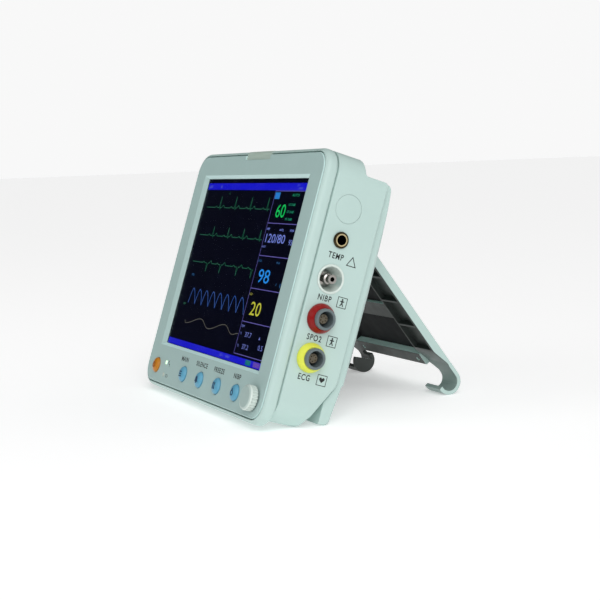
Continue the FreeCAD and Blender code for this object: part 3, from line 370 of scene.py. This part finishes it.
def lamps(name, colour, glow):
    """Two moulded light pipes: the upper one, above LAMP_SPLIT in its own axes, is lit."""
    finish = Finish(name)
    haze = finish.noise(0.8, 3.0)
    finish.set(Base_Color=finish.tint(haze, shaded(colour, 0.85), colour), IOR=1.5)
    finish.set(Roughness=finish.spread(haze, 0.3, 0.7, 0.12, 0.25), Subsurface_Weight=0.4,
               Subsurface_Scale=1.0 * MM)
    upper = finish.spread(finish.height(), LAMP_SPLIT - 1 * MM, LAMP_SPLIT + 1 * MM, 0.0, 1.0)
    finish.set(Emission_Color=finish.tint(haze, shaded(glow, 0.8), glow), Emission_Strength=upper)
    return finish


def stand_plastic(name, colour, channelled):
    """Stand moulding: pale outside, with painted shade, near black, on the sides that face the case. A channelled
    part also has painted shade on the walls and ribs inside its channel, where light hardly reaches; a plain bar
    has its faces that look up along the arms painted paler as painted light."""
    finish = moulded(name, colour, 0.45)
    base = finish.shader.inputs["Base Color"].links[0].from_socket
    # painted shade: faces that look towards the case are painted near black
    painted_shade = finish.spread(finish.facing(STAND_OUTWARD), -0.25, -0.55, 0.0, 1.0)
    if channelled:
        # painted shade also on the channel's walls and ribs; it fades out across the right arm and thins low on
        # the right foot's curl
        across = finish.spread(finish.facing((1, 0, 0)), 0.4, 0.7, 0.0, 1.0)
        inboard = finish.spread(finish.height("X"), *ARM_SHADE_FADE, 0.0, 1.0)
        walls = finish.calc("MULTIPLY", across, inboard)
        ribs = finish.spread(finish.calc("ABSOLUTE", finish.facing(STAND_ALONG), 0.0), 0.75, 0.9, 0.0, 1.0)
        painted_shade = finish.calc("MAXIMUM", painted_shade, finish.calc("MAXIMUM", walls, ribs))
        curl = finish.spread(finish.height(), *CURL_SHADE_FADE, 0.45, 1.0)
        left = finish.spread(finish.height("X"), *LEFT_SHADE_FADE, 0.0, 1.0)
        painted_shade = finish.calc("MULTIPLY", painted_shade, finish.calc("MAXIMUM", curl, left))
    else:
        # painted light: faces that look up along the arms are painted paler
        painted_light = finish.spread(finish.facing(STAND_ALONG), 0.75, 0.9, 0.0, 1.0)
        base = finish.tint(painted_light, base, shaded(colour, 1.4))
    # the near-black colour of the painted shade
    dark = finish.tint(finish.noise(5.0, 3.0), (0.016, 0.022, 0.020), (0.036, 0.044, 0.040))
    finish.set(Base_Color=finish.tint(painted_shade, base, dark))
    return finish


def knob_plastic(name, colour, front):
    """White knob moulding whose flat front face is painted darker, in the fascia's colour, as painted shade, with
    heavy painted shade in its grooves.
    """
    finish = moulded(name, colour, 0.36, mottle=0.02, edge=0.4, painted_crevice_shade=0.9)
    base = finish.shader.inputs["Base Color"].links[0].from_socket
    # painted shade: faces that look out of the fascia get the fascia's darker colour
    front_shade_mask = finish.spread(finish.facing(CASE_FRONT), 0.85, 0.97, 0.0, 1.0)
    front_shade_colour = finish.tint(finish.noise(3.0), shaded(front, 0.95), front)
    finish.set(Base_Color=finish.tint(front_shade_mask, base, front_shade_colour))
    return finish


def framed(name, colour):
    """Fascia moulding: the narrow faces that lean in to the display are painted paler as painted light, and its
    edges are paler as wear and painted highlight.
    """
    finish = moulded(name, colour, rough=0.46)
    base = finish.shader.inputs["Base Color"].links[0].from_socket
    # painted light: faces turned away from straight out of the fascia are painted paler
    lit_bevel_mask = finish.spread(finish.facing(CASE_FRONT), 0.9, 0.75, 0.0, 1.0)
    pale = finish.tint(finish.noise(9.0), shaded(colour, 1.45), shaded(colour, 1.55))
    finish.set(Base_Color=finish.tint(lit_bevel_mask, base, pale))
    return finish


def frosted(name, colour):
    """Translucent alarm lens with a satin skin."""
    # a little more painted shade in the lens's grooves than on the case
    finish = moulded(name, colour, rough=0.38, grain=0.25, depth=0.01, mottle=0.04, edge=0.5, painted_crevice_shade=0.3)
    finish.set(Subsurface_Weight=0.35, Subsurface_Radius=(1.2, 1.2, 1.0), Subsurface_Scale=2.0 * MM,
               Coat_Weight=0.15, Coat_Roughness=0.3)
    return finish


CASE_GREEN, FASCIA_GREEN = (0.475, 0.625, 0.590), (0.405, 0.555, 0.535)

FINISHES = {
    "case_shell": moulded("case_plastic", CASE_GREEN),
    "fascia": framed("fascia_plastic", FASCIA_GREEN),
    "alarm_lens": frosted("alarm_lens_plastic", (0.45, 0.56, 0.49)),
    "clear_window": clear_window("window_acrylic"),
    "display_glass": display_glass("display_black"),
    "sheet_steel": metal("plated_sheet", (0.6, 0.6, 0.58), 0.3, 0.5, (1, 1, 6)),
    "circuit_board": circuit_board("solder_mask"),
    "black_plastic": moulded("black_plastic", (0.022, 0.023, 0.025), 0.5, mottle=0.12),
    "pump_steel": metal("pump_can", (0.55, 0.55, 0.56), 0.28, 0.4, (8, 1, 1)),
    "steel": metal("machined_steel", (0.58, 0.58, 0.59), 0.24, 0.2, (6, 1, 1)),
    "tube_rubber": silicone("tube_silicone", (0.45, 0.45, 0.42), 0.45),
    "power_orange": silicone("power_orange", (0.52, 0.19, 0.004)),
    "key_blue": silicone("key_blue", (0.11, 0.36, 0.52)),
    "lamp_plastic": lamps("lamp_pipes", (0.62, 0.72, 0.66), (0.70, 1.0, 0.62)),
    "knob_white": knob_plastic("knob_white", (0.67, 0.76, 0.71), (0.44, 0.57, 0.54)),
    "jack_brass": jack_metal("jack_brass", (0.06, 0.045, 0.022), (0.60, 0.50, 0.28)),
    "contact_brass": metal("contact_brass", (0.72, 0.53, 0.22), 0.24, 0.15, (6, 1, 1)),
    "chrome": metal("chrome", (0.36, 0.34, 0.32), 0.08, 0.2, (8, 1, 1), depth=0.002, tarnish=0.1),
    "collar_red": glossy("collar_red", (0.26, 0.002, 0.002), 0.26),
    "collar_yellow": glossy("collar_yellow", (0.78, 0.82, 0.09), 0.26),
    "socket_grey": moulded("socket_grey", (0.12, 0.155, 0.165), 0.32, mottle=0.06, edge=0.3),
    "insert_tan": moulded("insert_tan", (0.13, 0.11, 0.075), 0.5, mottle=0.1),
    "stand_shell": stand_plastic("stand_plastic", shaded(CASE_GREEN, 0.97), True),
    # the bar's colour is set 5% paler than the case's as painted light
    "bar_shell": stand_plastic("bar_plastic", shaded(CASE_GREEN, 1.05), False),
    # painted shade: the web is near black to stand in for the deep shade between the stand's crossbars
    "web_black": moulded("web_black", (0.003, 0.004, 0.005), 0.7, mottle=0.1).set(Specular_IOR_Level=0.2),
}


def finish_cad_nodes():
    for part in frame["record"]["subparts"]:
        node = frame["nodes"][part["node"]]
        node.data.materials.clear()
        node.data.materials.append(FINISHES[part["material_slot"]].material)


# ---------------------------------------------------------------- flat artwork

class Drawing:
    """Flat artwork of one colour on one plane, in millimetres, as thin closed solids."""

    def __init__(self, thickness=INK):
        self.mesh = bmesh.new()
        self.thickness = thickness

    def take(self, mesh, matrix=Matrix()):
        mesh.transform(matrix)
        self.mesh.from_mesh(mesh)
        bpy.data.meshes.remove(mesh)

    def filled(self, *loops):
        """A filled outline, with holes where a loop lies inside another."""
        curve = bpy.data.curves.new("outline", "CURVE")
        curve.dimensions = "2D"
        curve.fill_mode = "BOTH"
        curve.extrude = self.thickness / 2
        for points in loops:
            spline = curve.splines.new("POLY")
            spline.points.add(len(points) - 1)
            for spot, (across, along) in zip(spline.points, points):
                spot.co = (across, along, 0, 1)
            spline.use_cyclic_u = True
        self.take(mesh_of(curve), Matrix.Translation((0, 0, self.thickness / 2)))
        return self

    def block(self, low, high):
        return self.filled([low, (high[0], low[1]), high, (low[0], high[1])])

    def ring(self, middle, outer, inner, sides=40):
        return self.filled(circle(middle, outer, sides), circle(middle, inner, sides))

    def line(self, points, width):
        """An even stroke along an open run of points, mitred at its corners."""
        runs = [Vector(point) for point in points]
        strip = []
        for index, spot in enumerate(runs):
            before = (spot - runs[index - 1]).normalized() if index else None
            after = (runs[index + 1] - spot).normalized() if index < len(runs) - 1 else None
            way = ((before or after) + (after or before)).normalized()
            corner = way.dot(before or after)
            reach = width / 2 / max(corner, 0.45)
            strip.append((spot, Vector((-way.y, way.x)) * reach))
        rows = []
        for spot, aside in strip:
            rows.append([self.mesh.verts.new((*(spot + aside * sign), height))
                         for sign, height in ((1, 0), (-1, 0), (-1, self.thickness), (1, self.thickness))])
        for first, last in zip(rows, rows[1:]):
            for corner in range(4):
                following = (corner + 1) % 4
                self.mesh.faces.new((first[corner], last[corner], last[following], first[following]))
        self.mesh.faces.new(rows[0])
        self.mesh.faces.new(reversed(rows[-1]))
        return self

    def strokes(self, points, width):
        """A separate even stroke from each point to the next, for runs that turn back sharply."""
        for pair in zip(points, points[1:]):
            self.line(pair, width)
        return self

    def closed_line(self, points, width):
        """A stroke of even width round a convex outline."""
        middle = sum((Vector(point) for point in points), Vector((0, 0))) / len(points)
        inner = []
        for index, point in enumerate(points):
            spot = Vector(point)
            before = (spot - Vector(points[index - 1])).normalized()
            after = (Vector(points[(index + 1) % len(points)]) - spot).normalized()
            inward = (after - before).normalized()
            reach = width / max(abs(inward.dot(Vector((-after.y, after.x)))), 0.2)
            if (spot + inward - middle).length > (spot - inward - middle).length:
                inward = -inward
            inner.append(tuple(spot + inward * reach))
        return self.filled(points, inner)

    def words(self, text, place, height, anchor="LEFT", narrow=1.0, weight=0.0, apart=1.0):
        """Lettering whose capitals are height millimetres tall, on a baseline that starts at place."""
        curve = bpy.data.curves.new("words", "FONT")
        curve.body = text
        curve.size = height / CAPITAL_SHARE
        curve.align_x = anchor
        curve.offset = weight
        curve.space_character = apart
        curve.extrude = self.thickness / 2
        curve.resolution_u = 4
        shift = Matrix.Translation((*place, self.thickness / 2)) @ Matrix.Diagonal((narrow, 1, 1, 1))
        self.take(mesh_of(curve), shift)
        return self

    def place(self, name, matrix, finish, body, slot):
        """Makes the artwork one piece that rides on a CAD body."""
        bmesh.ops.remove_doubles(self.mesh, verts=self.mesh.verts, dist=1e-5)
        bmesh.ops.recalc_face_normals(self.mesh, faces=self.mesh.faces)
        mesh = bpy.data.meshes.new(name)
        self.mesh.to_mesh(mesh)
        self.mesh.free()
        mesh.transform(matrix)
        mesh.materials.append(finish.material)
        piece = bpy.data.objects.new(name, mesh)
        bpy.context.scene.collection.objects.link(piece)
        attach(piece, body)
        return piece


def mesh_of(curve):
    """The curve as a mesh of its own, with the curve and its holder removed."""
    holder = bpy.data.objects.new("holder", curve)
    bpy.context.scene.collection.objects.link(holder)
    bpy.context.view_layer.update()
    graph = bpy.context.evaluated_depsgraph_get()
    mesh = bpy.data.meshes.new_from_object(holder.evaluated_get(graph))
    bpy.data.objects.remove(holder)
    bpy.data.curves.remove(curve)
    return mesh


def circle(middle, radius, sides=40):
    """Points all round a circle, the first one not repeated."""
    turns = [2 * math.pi * index / sides for index in range(sides)]
    return [(middle[0] + radius * math.cos(turn), middle[1] + radius * math.sin(turn)) for turn in turns]


def arc(middle, radius, start, end, steps=12):
    """Points on an arc from start to end degrees, both ends included."""
    spots = []
    for index in range(steps + 1):
        turn = math.radians(start + (end - start) * index / steps)
        spots.append((middle[0] + radius * math.cos(turn), middle[1] + radius * math.sin(turn)))
    return spots


# ---------------------------------------------------------------- printed labels

INK_BLACK = printed("label_ink", (0.004, 0.005, 0.006))
INK_KEY = printed("key_ink", (0.012, 0.045, 0.10))


def person(drawing, middle, size):
    """A plain standing figure: head, body, spread arms and legs."""
    across, along = middle
    stroke = size * 0.13
    drawing.filled(circle((across, along + size * 0.36), size * 0.11, 16))
    drawing.line([(across, along + size * 0.24), (across, along - size * 0.08)], stroke * 1.5)
    drawing.line([(across - size * 0.26, along + size * 0.12), (across, along + size * 0.17),
                  (across + size * 0.26, along + size * 0.12)], stroke)
    drawing.line([(across - size * 0.2, along - size * 0.42), (across, along - size * 0.06),
                  (across + size * 0.2, along - size * 0.42)], stroke)


def heart(drawing, middle, size):
    """A filled heart about size millimetres across."""
    spots = []
    for index in range(36):
        turn = 2 * math.pi * index / 36
        across = 16 * math.sin(turn) ** 3
        along = 13 * math.cos(turn) - 5 * math.cos(2 * turn) - 2 * math.cos(3 * turn) - math.cos(4 * turn)
        spots.append((middle[0] + across * size / 34, middle[1] + (along + 2.5) * size / 34))
    drawing.filled(spots)


def side_labels():
    """Channel names below the sockets, with boxed figures beside three of them."""
    names = (("TEMP", 23.0, 118.6), ("NIBP", 22.6, 90.5), ("SPO2", 22.6, 64.1), ("ECG", 22.5, 38.1))
    words = Drawing()
    for text, across, along in names:
        words.words(text, (across, along - 2.0), 4.0, "CENTER", 0.78, 0.1, 1.17)
    words.place("side_channel_names", side_plane(), INK_BLACK, "case", "case_shell")

    marks = Drawing()
    box = 7.2
    for across, along in ((35.8, 90.4), (35.7, 64.3), (35.6, 38.5)):
        half = box / 2
        marks.closed_line([(across - half, along - half), (across + half, along - half),
                           (across + half, along + half), (across - half, along + half)], 0.45)
    person(marks, (35.8, 90.4), 5.6)
    person(marks, (35.7, 64.3), 5.6)
    heart(marks, (35.6, 38.5), 4.4)
    marks.closed_line([(31.6, 114.4), (39.2, 114.4), (35.4, 121.2)], 0.55)
    marks.place("side_channel_marks", side_plane(), INK_BLACK, "case", "case_shell")


def front_labels():
    """Key names above the four round keys, and small marks by the two lamps."""
    words = Drawing()
    for text, across in (("MAIN", -35.5), ("SILENCE", -2.7), ("FREEZE", 28.8), ("NIBP", 59.9)):
        words.words(text, (across, 25.0), 3.5, "CENTER", 1.05, 0.11, 1.15)
    words.place("front_key_names", front_plane(), INK_BLACK, "case", "fascia")

    marks = Drawing()
    marks.line([(-64.6, 22.0), (-64.6, 19.2), (-62.6, 19.2), (-62.6, 17.2)], 0.5)
    marks.line([(-66.2, 19.6), (-64.2, 21.6)], 0.4)
    marks.closed_line([(-65.4, 9.0), (-61.8, 9.0), (-61.8, 11.2), (-65.4, 11.2)], 0.4)
    marks.block((-61.8, 9.6), (-61.3, 10.6))
    marks.place("front_lamp_marks", front_plane(), INK_BLACK, "case", "fascia")


def key_symbols():
    """A small dark sign on the crown of each round key."""
    def menu(drawing, across):
        for step in (-1, 0, 1):
            drawing.line([(across - 1.9, KEY_Z + step * 1.6), (across + 1.9, KEY_Z + step * 1.6)], 0.8)

    def bell(drawing, across):
        outline = arc((across, KEY_Z + 0.6), 1.7, 0, 180, 14) + [(across - 2.3, KEY_Z - 1.7),
                                                              (across + 2.3, KEY_Z - 1.7)]
        drawing.filled(outline)
        drawing.filled(circle((across, KEY_Z - 2.1), 0.6, 14))

    def still(drawing, across):
        for side in (-1, 1):
            middle = across + side * 1.1
            drawing.block((middle - 0.6, KEY_Z - 2.3), (middle + 0.6, KEY_Z + 2.3))

    def cuff(drawing, across):
        drawing.ring((across, KEY_Z - 0.4), 2.0, 1.2, 28)
        drawing.line([(across, KEY_Z + 1.4), (across, KEY_Z + 2.6)], 0.8)

    def power(drawing, across):
        drawing.line(arc((across, KEY_Z), 2.0, 125, 415, 24), 0.7)
        drawing.line([(across, KEY_Z + 0.3), (across, KEY_Z + 2.5)], 0.7)

    signs = (("main_key", -31.8, menu, "key_blue"), ("silence_key", -0.2, bell, "key_blue"),
             ("freeze_key", 31.4, still, "key_blue"), ("nibp_key", 63.0, cuff, "key_blue"),
             ("power_button", -87.5, power, "power_orange"))
    ink_depth = 0.55
    for body, across, draw, slot in signs:
        sign = Drawing(ink_depth)
        draw(sign, across)
        ink = INK_KEY if slot == "key_blue" else printed("power_ink", (0.25, 0.07, 0.01))
        sign.place(body + "_sign", front_plane(KEY_FACE + ink_depth - 0.03), ink, body, slot)


# ---------------------------------------------------------------- the picture

GREEN, DIM_GREEN = (0.0, 0.55, 0.10), (0.005, 0.11, 0.052)
SKY, VIOLET, YELLOW = (0.01, 0.26, 0.82), (0.18, 0.24, 0.75), (0.56, 0.55, 0.04)
GREY, BAR_BLUE, PALE_BLUE = (0.085, 0.08, 0.065), (0.0, 0.0, 0.60), (0.16, 0.20, 0.62)
TRACE_BLUE, RULE = (0.018, 0.075, 0.32), (0.12, 0.10, 0.42)

SPLIT = 123.6
RIGHT_END = 170.0
ROWS = (121.5, 98.7, 75.7, 52.6, 29.3, 6.7)


def show(drawing, name, colour, strength=1.0, layer=1):
    """Puts artwork in the gap between the display and its window; layer 1 is in front of layer 0."""
    depth = INK * (1 + 1.2 * layer)
    finish = lit("lit_" + name, colour, strength)
    return drawing.place("screen_" + name, picture_plane(depth - INK), finish, "case", "display_glass")


def traces():
    """Three leads of regular beats, a pulse wave and a slow breathing wave."""
    before = ((-13.5, 0.0), (-8.6, 0.0), (-7.2, 0.9), (-5.9, 0.9), (-4.8, 0.0), (-1.6, 0.0), (-1.0, -0.5))
    after = ((1.0, -1.4), (1.7, 0.0), (4.0, 0.2), (6.0, 1.9), (7.3, 1.7), (8.8, 0.0))
    leads = ((108.2, 8.6, (32.6, 60.7, 88.1, 116.6)), (86.5, 7.0, (32.9, 60.9, 88.4, 116.9)),
             (65.4, -6.4, (36.5, 62.2, 92.4, 117.8)))
    drawing = Drawing()
    for base, peak, places in leads:
        spots = [(7.6, base)]
        for middle in places:
            spots += [(middle + across, base + along) for across, along in before]
            spots.append((middle, base + peak))
            spots += [(middle + across, base + along) for across, along in after]
        drawing.strokes([spot for spot in spots if spot[0] < 121.6], 0.55)
    show(drawing, "heart_traces", DIM_GREEN)

    pulse = Drawing()
    spots = []
    cycles, steps, left, right, low, high = 8, 12, 19.5, 122.4, 33.6, 45.0
    for index in range(cycles * steps + 1):
        share = (index % steps) / steps
        if share < 0.34:
            rise = math.sin(share / 0.34 * math.pi / 2)
        else:
            rise = math.cos((share - 0.34) / 0.66 * math.pi / 2)
        spots.append((left + (right - left) * index / (cycles * steps), low + (high - low) * rise))
    pulse.strokes(spots, 0.8)
    show(pulse, "pulse_trace", TRACE_BLUE)

    breath = Drawing()
    turns = ((22.4, 20.2), (24.3, 18.4), (52.9, 23.7), (68.4, 18.1), (97.3, 23.8), (112.3, 18.5),
             (122.4, 20.1))
    spots = []
    for (start, from_high), (end, to_high) in zip(turns, turns[1:]):
        for step in range(14):
            ease = (1 - math.cos(math.pi * step / 14)) / 2
            spots.append((start + (end - start) * step / 14, from_high + (to_high - from_high) * ease))
    breath.line(spots + [turns[-1]], 0.55)
    show(breath, "breath_trace", GREY)


def rules():
    """Frame lines of the number panel."""
    frame_lines = Drawing()
    frame_lines.line([(SPLIT, ROWS[-1]), (SPLIT, ROWS[0])], 0.4)
    for height in ROWS:
        frame_lines.line([(SPLIT, height), (RIGHT_END, height)], 0.5)
    show(frame_lines, "rules", RULE, layer=0)


def bars():
    """The blue strips along the top and bottom of the picture, with their words and status cells."""
    strips = Drawing()
    strips.block((0.6, 121.9), (170.0, 127.1))
    strips.block((0.4, 0.4), (170.0, 4.9))
    show(strips, "bars", BAR_BLUE, layer=0)
    words = Drawing()
    words.words("ADU", (3.4, 123.4), 1.9)
    words.block((25.6, 123.4), (27.2, 125.2))
    words.words("01-01", (155.0, 125.0), 1.3)
    words.words("12:00:00", (157.5, 122.8), 1.3)
    words.words("BED 1", (101.0, 2.1), SMALL_TEXT)
    words.words("READY", (111.6, 2.1), SMALL_TEXT)
    show(words, "bar_words", PALE_BLUE)
    for name, low, high, colour in (("bar_green", (145.4, 1.2), (153.4, 4.5), (0.0, 0.17, 0.17)),
                                    ("bar_violet", (158.0, 1.1), (168.2, 4.5), (0.12, 0.05, 0.42))):
        show(Drawing().block(low, high), name, colour)


def numbers():
    """The number panel: one piece of artwork for each colour, with short names beside the values."""
    big = Drawing()
    big.words("60", (131.6, 103.0), 9.6, narrow=1.16, weight=0.03)
    show(big, "rate", GREEN)
    small = Drawing()
    small.words("AUTO", (151.0, 117.8), 1.9, narrow=1.5)
    for height in (111.2, 106.2, 101.2):
        small.words("ST 0.00", (149.0, height), SMALL_TEXT, narrow=1.45)
    show(small, "rate_notes", (0.006, 0.34, 0.17))

    pressure = Drawing()
    pressure.words("120/80", (124.6, 85.2), 6.4, narrow=1.34)
    pressure.words("NIBP", (124.8, 93.8), SMALL_TEXT)
    pressure.words("mmHg", (145.0, 93.8), SMALL_TEXT)
    pressure.words("MEAN", (161.0, 93.6), SMALL_TEXT)
    pressure.words("93", (163.4, 84.6), 3.8, narrow=1.1)
    pressure.words("AUTO", (124.4, 81.4), 1.5)
    show(pressure, "pressure", VIOLET)

    oxygen = Drawing()
    oxygen.words("98", (130.0, 57.2), 9.8, narrow=1.42)
    show(oxygen, "oxygen", SKY)
    notes = Drawing()
    notes.words("SPO2", (124.6, 71.2), SMALL_TEXT)
    notes.words("PR 60", (153.4, 71.2), 1.6)
    notes.words("SPO2", (12.6, 54.4), SMALL_TEXT)
    notes.block((161.0, 56.6), (161.5, 58.4))
    notes.block((167.0, 55.6), (168.0, 58.4))
    show(notes, "oxygen_notes", (0.012, 0.11, 0.30))
    icon = Drawing()
    icon.block((124.4, 115.8), (132.0, 120.4))
    show(icon, "rate_icon", (0.01, 0.20, 0.62))

    breaths = Drawing()
    breaths.words("20", (131.0, 34.4), 9.8, narrow=1.32)
    show(breaths, "breaths", YELLOW)
    notes = Drawing()
    notes.words("RESP", (124.4, 47.7), SMALL_TEXT)
    show(notes, "breath_notes", (0.30, 0.28, 0.03))
    notes = Drawing()
    notes.words("RESP", (11.0, 31.6), SMALL_TEXT)
    notes.words("x1", (44.0, 118.6), SMALL_TEXT)
    show(notes, "trace_notes", (0.02, 0.15, 0.08))

    heat = Drawing()
    heat.words("TEMP", (124.6, 25.2), SMALL_TEXT)
    heat.words("T1", (125.6, 20.0), 1.8)
    heat.words("37.7", (133.4, 19.2), 3.5, narrow=1.3)
    heat.words("T2", (125.6, 11.6), 1.8)
    heat.words("37.2", (133.4, 10.8), 3.5, narrow=1.3)
    heat.words("0.5", (158.6, 12.6), 3.6, narrow=1.25)
    heat.filled([(156.4, 19.4), (158.8, 19.4), (157.6, 21.6)])
    show(heat, "temperatures", PALE_BLUE)


# ---------------------------------------------------------------- stage

def area_light(name, place, size, power, colour, target=(0.0, 0.0, 0.09)):
    light = bpy.data.lights.new(name, "AREA")
    light.shape = "DISK"
    light.size = size
    light.energy = power
    light.color = colour
    holder = bpy.data.objects.new(name, light)
    holder.location = place
    holder.rotation_mode = "QUATERNION"
    holder.rotation_quaternion = (Vector(target) - Vector(place)).to_track_quat("-Z", "Y")
    bpy.context.scene.collection.objects.link(holder)


def studio():
    """White floor under a soft sky that is brighter to the right, with a soft sun and two fills."""
    floor_mesh = bpy.data.meshes.new("floor")
    reach = 40.0
    floor_mesh.from_pydata([(-reach, -reach, 0), (reach, -reach, 0), (reach, reach, 0), (-reach, reach, 0)],
                           [], [(0, 1, 2, 3)])
    floor = bpy.data.objects.new("floor", floor_mesh)
    bpy.context.scene.collection.objects.link(floor)
    paper = Finish("floor_paper")
    paper.set(Base_Color=(0.93, 0.93, 0.93), Roughness=0.85, Specular_IOR_Level=0.1,
              Emission_Color=(1.0, 1.0, 1.0), Emission_Strength=0.34)
    floor_mesh.materials.append(paper.material)

    world = bpy.data.worlds.new("studio")
    world.use_nodes = True
    tree = world.node_tree
    around = tree.nodes.new("ShaderNodeTexCoord")
    toward = tree.nodes.new("ShaderNodeVectorMath")
    toward.operation = "DOT_PRODUCT"
    toward.inputs[1].default_value = (0.62, 0.12, 0.68)
    grade = tree.nodes.new("ShaderNodeMapRange")
    for key, value in (("From Min", -0.2), ("From Max", 0.9), ("To Min", SKY_LOW), ("To Max", SKY_HIGH)):
        grade.inputs[key].default_value = value
    seen = tree.nodes.new("ShaderNodeLightPath")
    choose = tree.nodes.new("ShaderNodeMix")
    choose.inputs["B"].default_value = BACKDROP
    sky = tree.nodes["Background"]
    sky.inputs["Color"].default_value = (1.0, 1.0, 1.0, 1.0)
    tree.links.new(around.outputs["Generated"], toward.inputs[0])
    tree.links.new(toward.outputs["Value"], grade.inputs["Value"])
    tree.links.new(seen.outputs["Is Camera Ray"], choose.inputs["Factor"])
    tree.links.new(grade.outputs["Result"], choose.inputs["A"])
    tree.links.new(choose.outputs["Result"], sky.inputs["Strength"])
    bpy.context.scene.world = world
    sun = bpy.data.lights.new("soft_sun", "SUN")
    sun.energy = 0.9
    sun.angle = math.radians(35)
    holder = bpy.data.objects.new("soft_sun", sun)
    holder.rotation_mode = "QUATERNION"
    holder.rotation_quaternion = Vector((-0.75, 0.25, -0.7)).to_track_quat("-Z", "Y")
    bpy.context.scene.collection.objects.link(holder)
    area_light("front_fill", (-0.2, -1.5, 0.9), 1.0, 3.1, (0.98, 1.0, 1.0))
    area_light("side_fill", (1.05, -0.50, 0.42), 0.6, 1.7, (1.0, 1.0, 1.0))


def camera():
    """Looks at the monitor from its right front, a little above its middle."""
    azimuth, elevation, roll = math.radians(63.85), math.radians(6.12), math.radians(2.08)
    location = Vector((0.83252, -0.41444, 0.17109))
    forward = Vector((-math.sin(azimuth) * math.cos(elevation), math.cos(azimuth) * math.cos(elevation),
                      -math.sin(elevation)))
    lens = bpy.data.cameras.new("camera")
    lens.sensor_width = 36.0
    lens.lens = 76.8
    lens.clip_start = 0.01
    holder = bpy.data.objects.new("camera", lens)
    holder.location = location
    holder.rotation_mode = "QUATERNION"
    level = forward.to_track_quat("-Z", "Y")
    holder.rotation_quaternion = Matrix.Rotation(roll, 3, forward).to_quaternion() @ level
    bpy.context.scene.collection.objects.link(holder)
    bpy.context.scene.camera = holder
    bpy.context.scene.view_settings.view_transform = "Standard"


# ---------------------------------------------------------------- the whole

finish_cad_nodes()
side_labels()
front_labels()
key_symbols()
bars()
rules()
traces()
numbers()
studio()
camera()

bpy.context.view_layer.update()
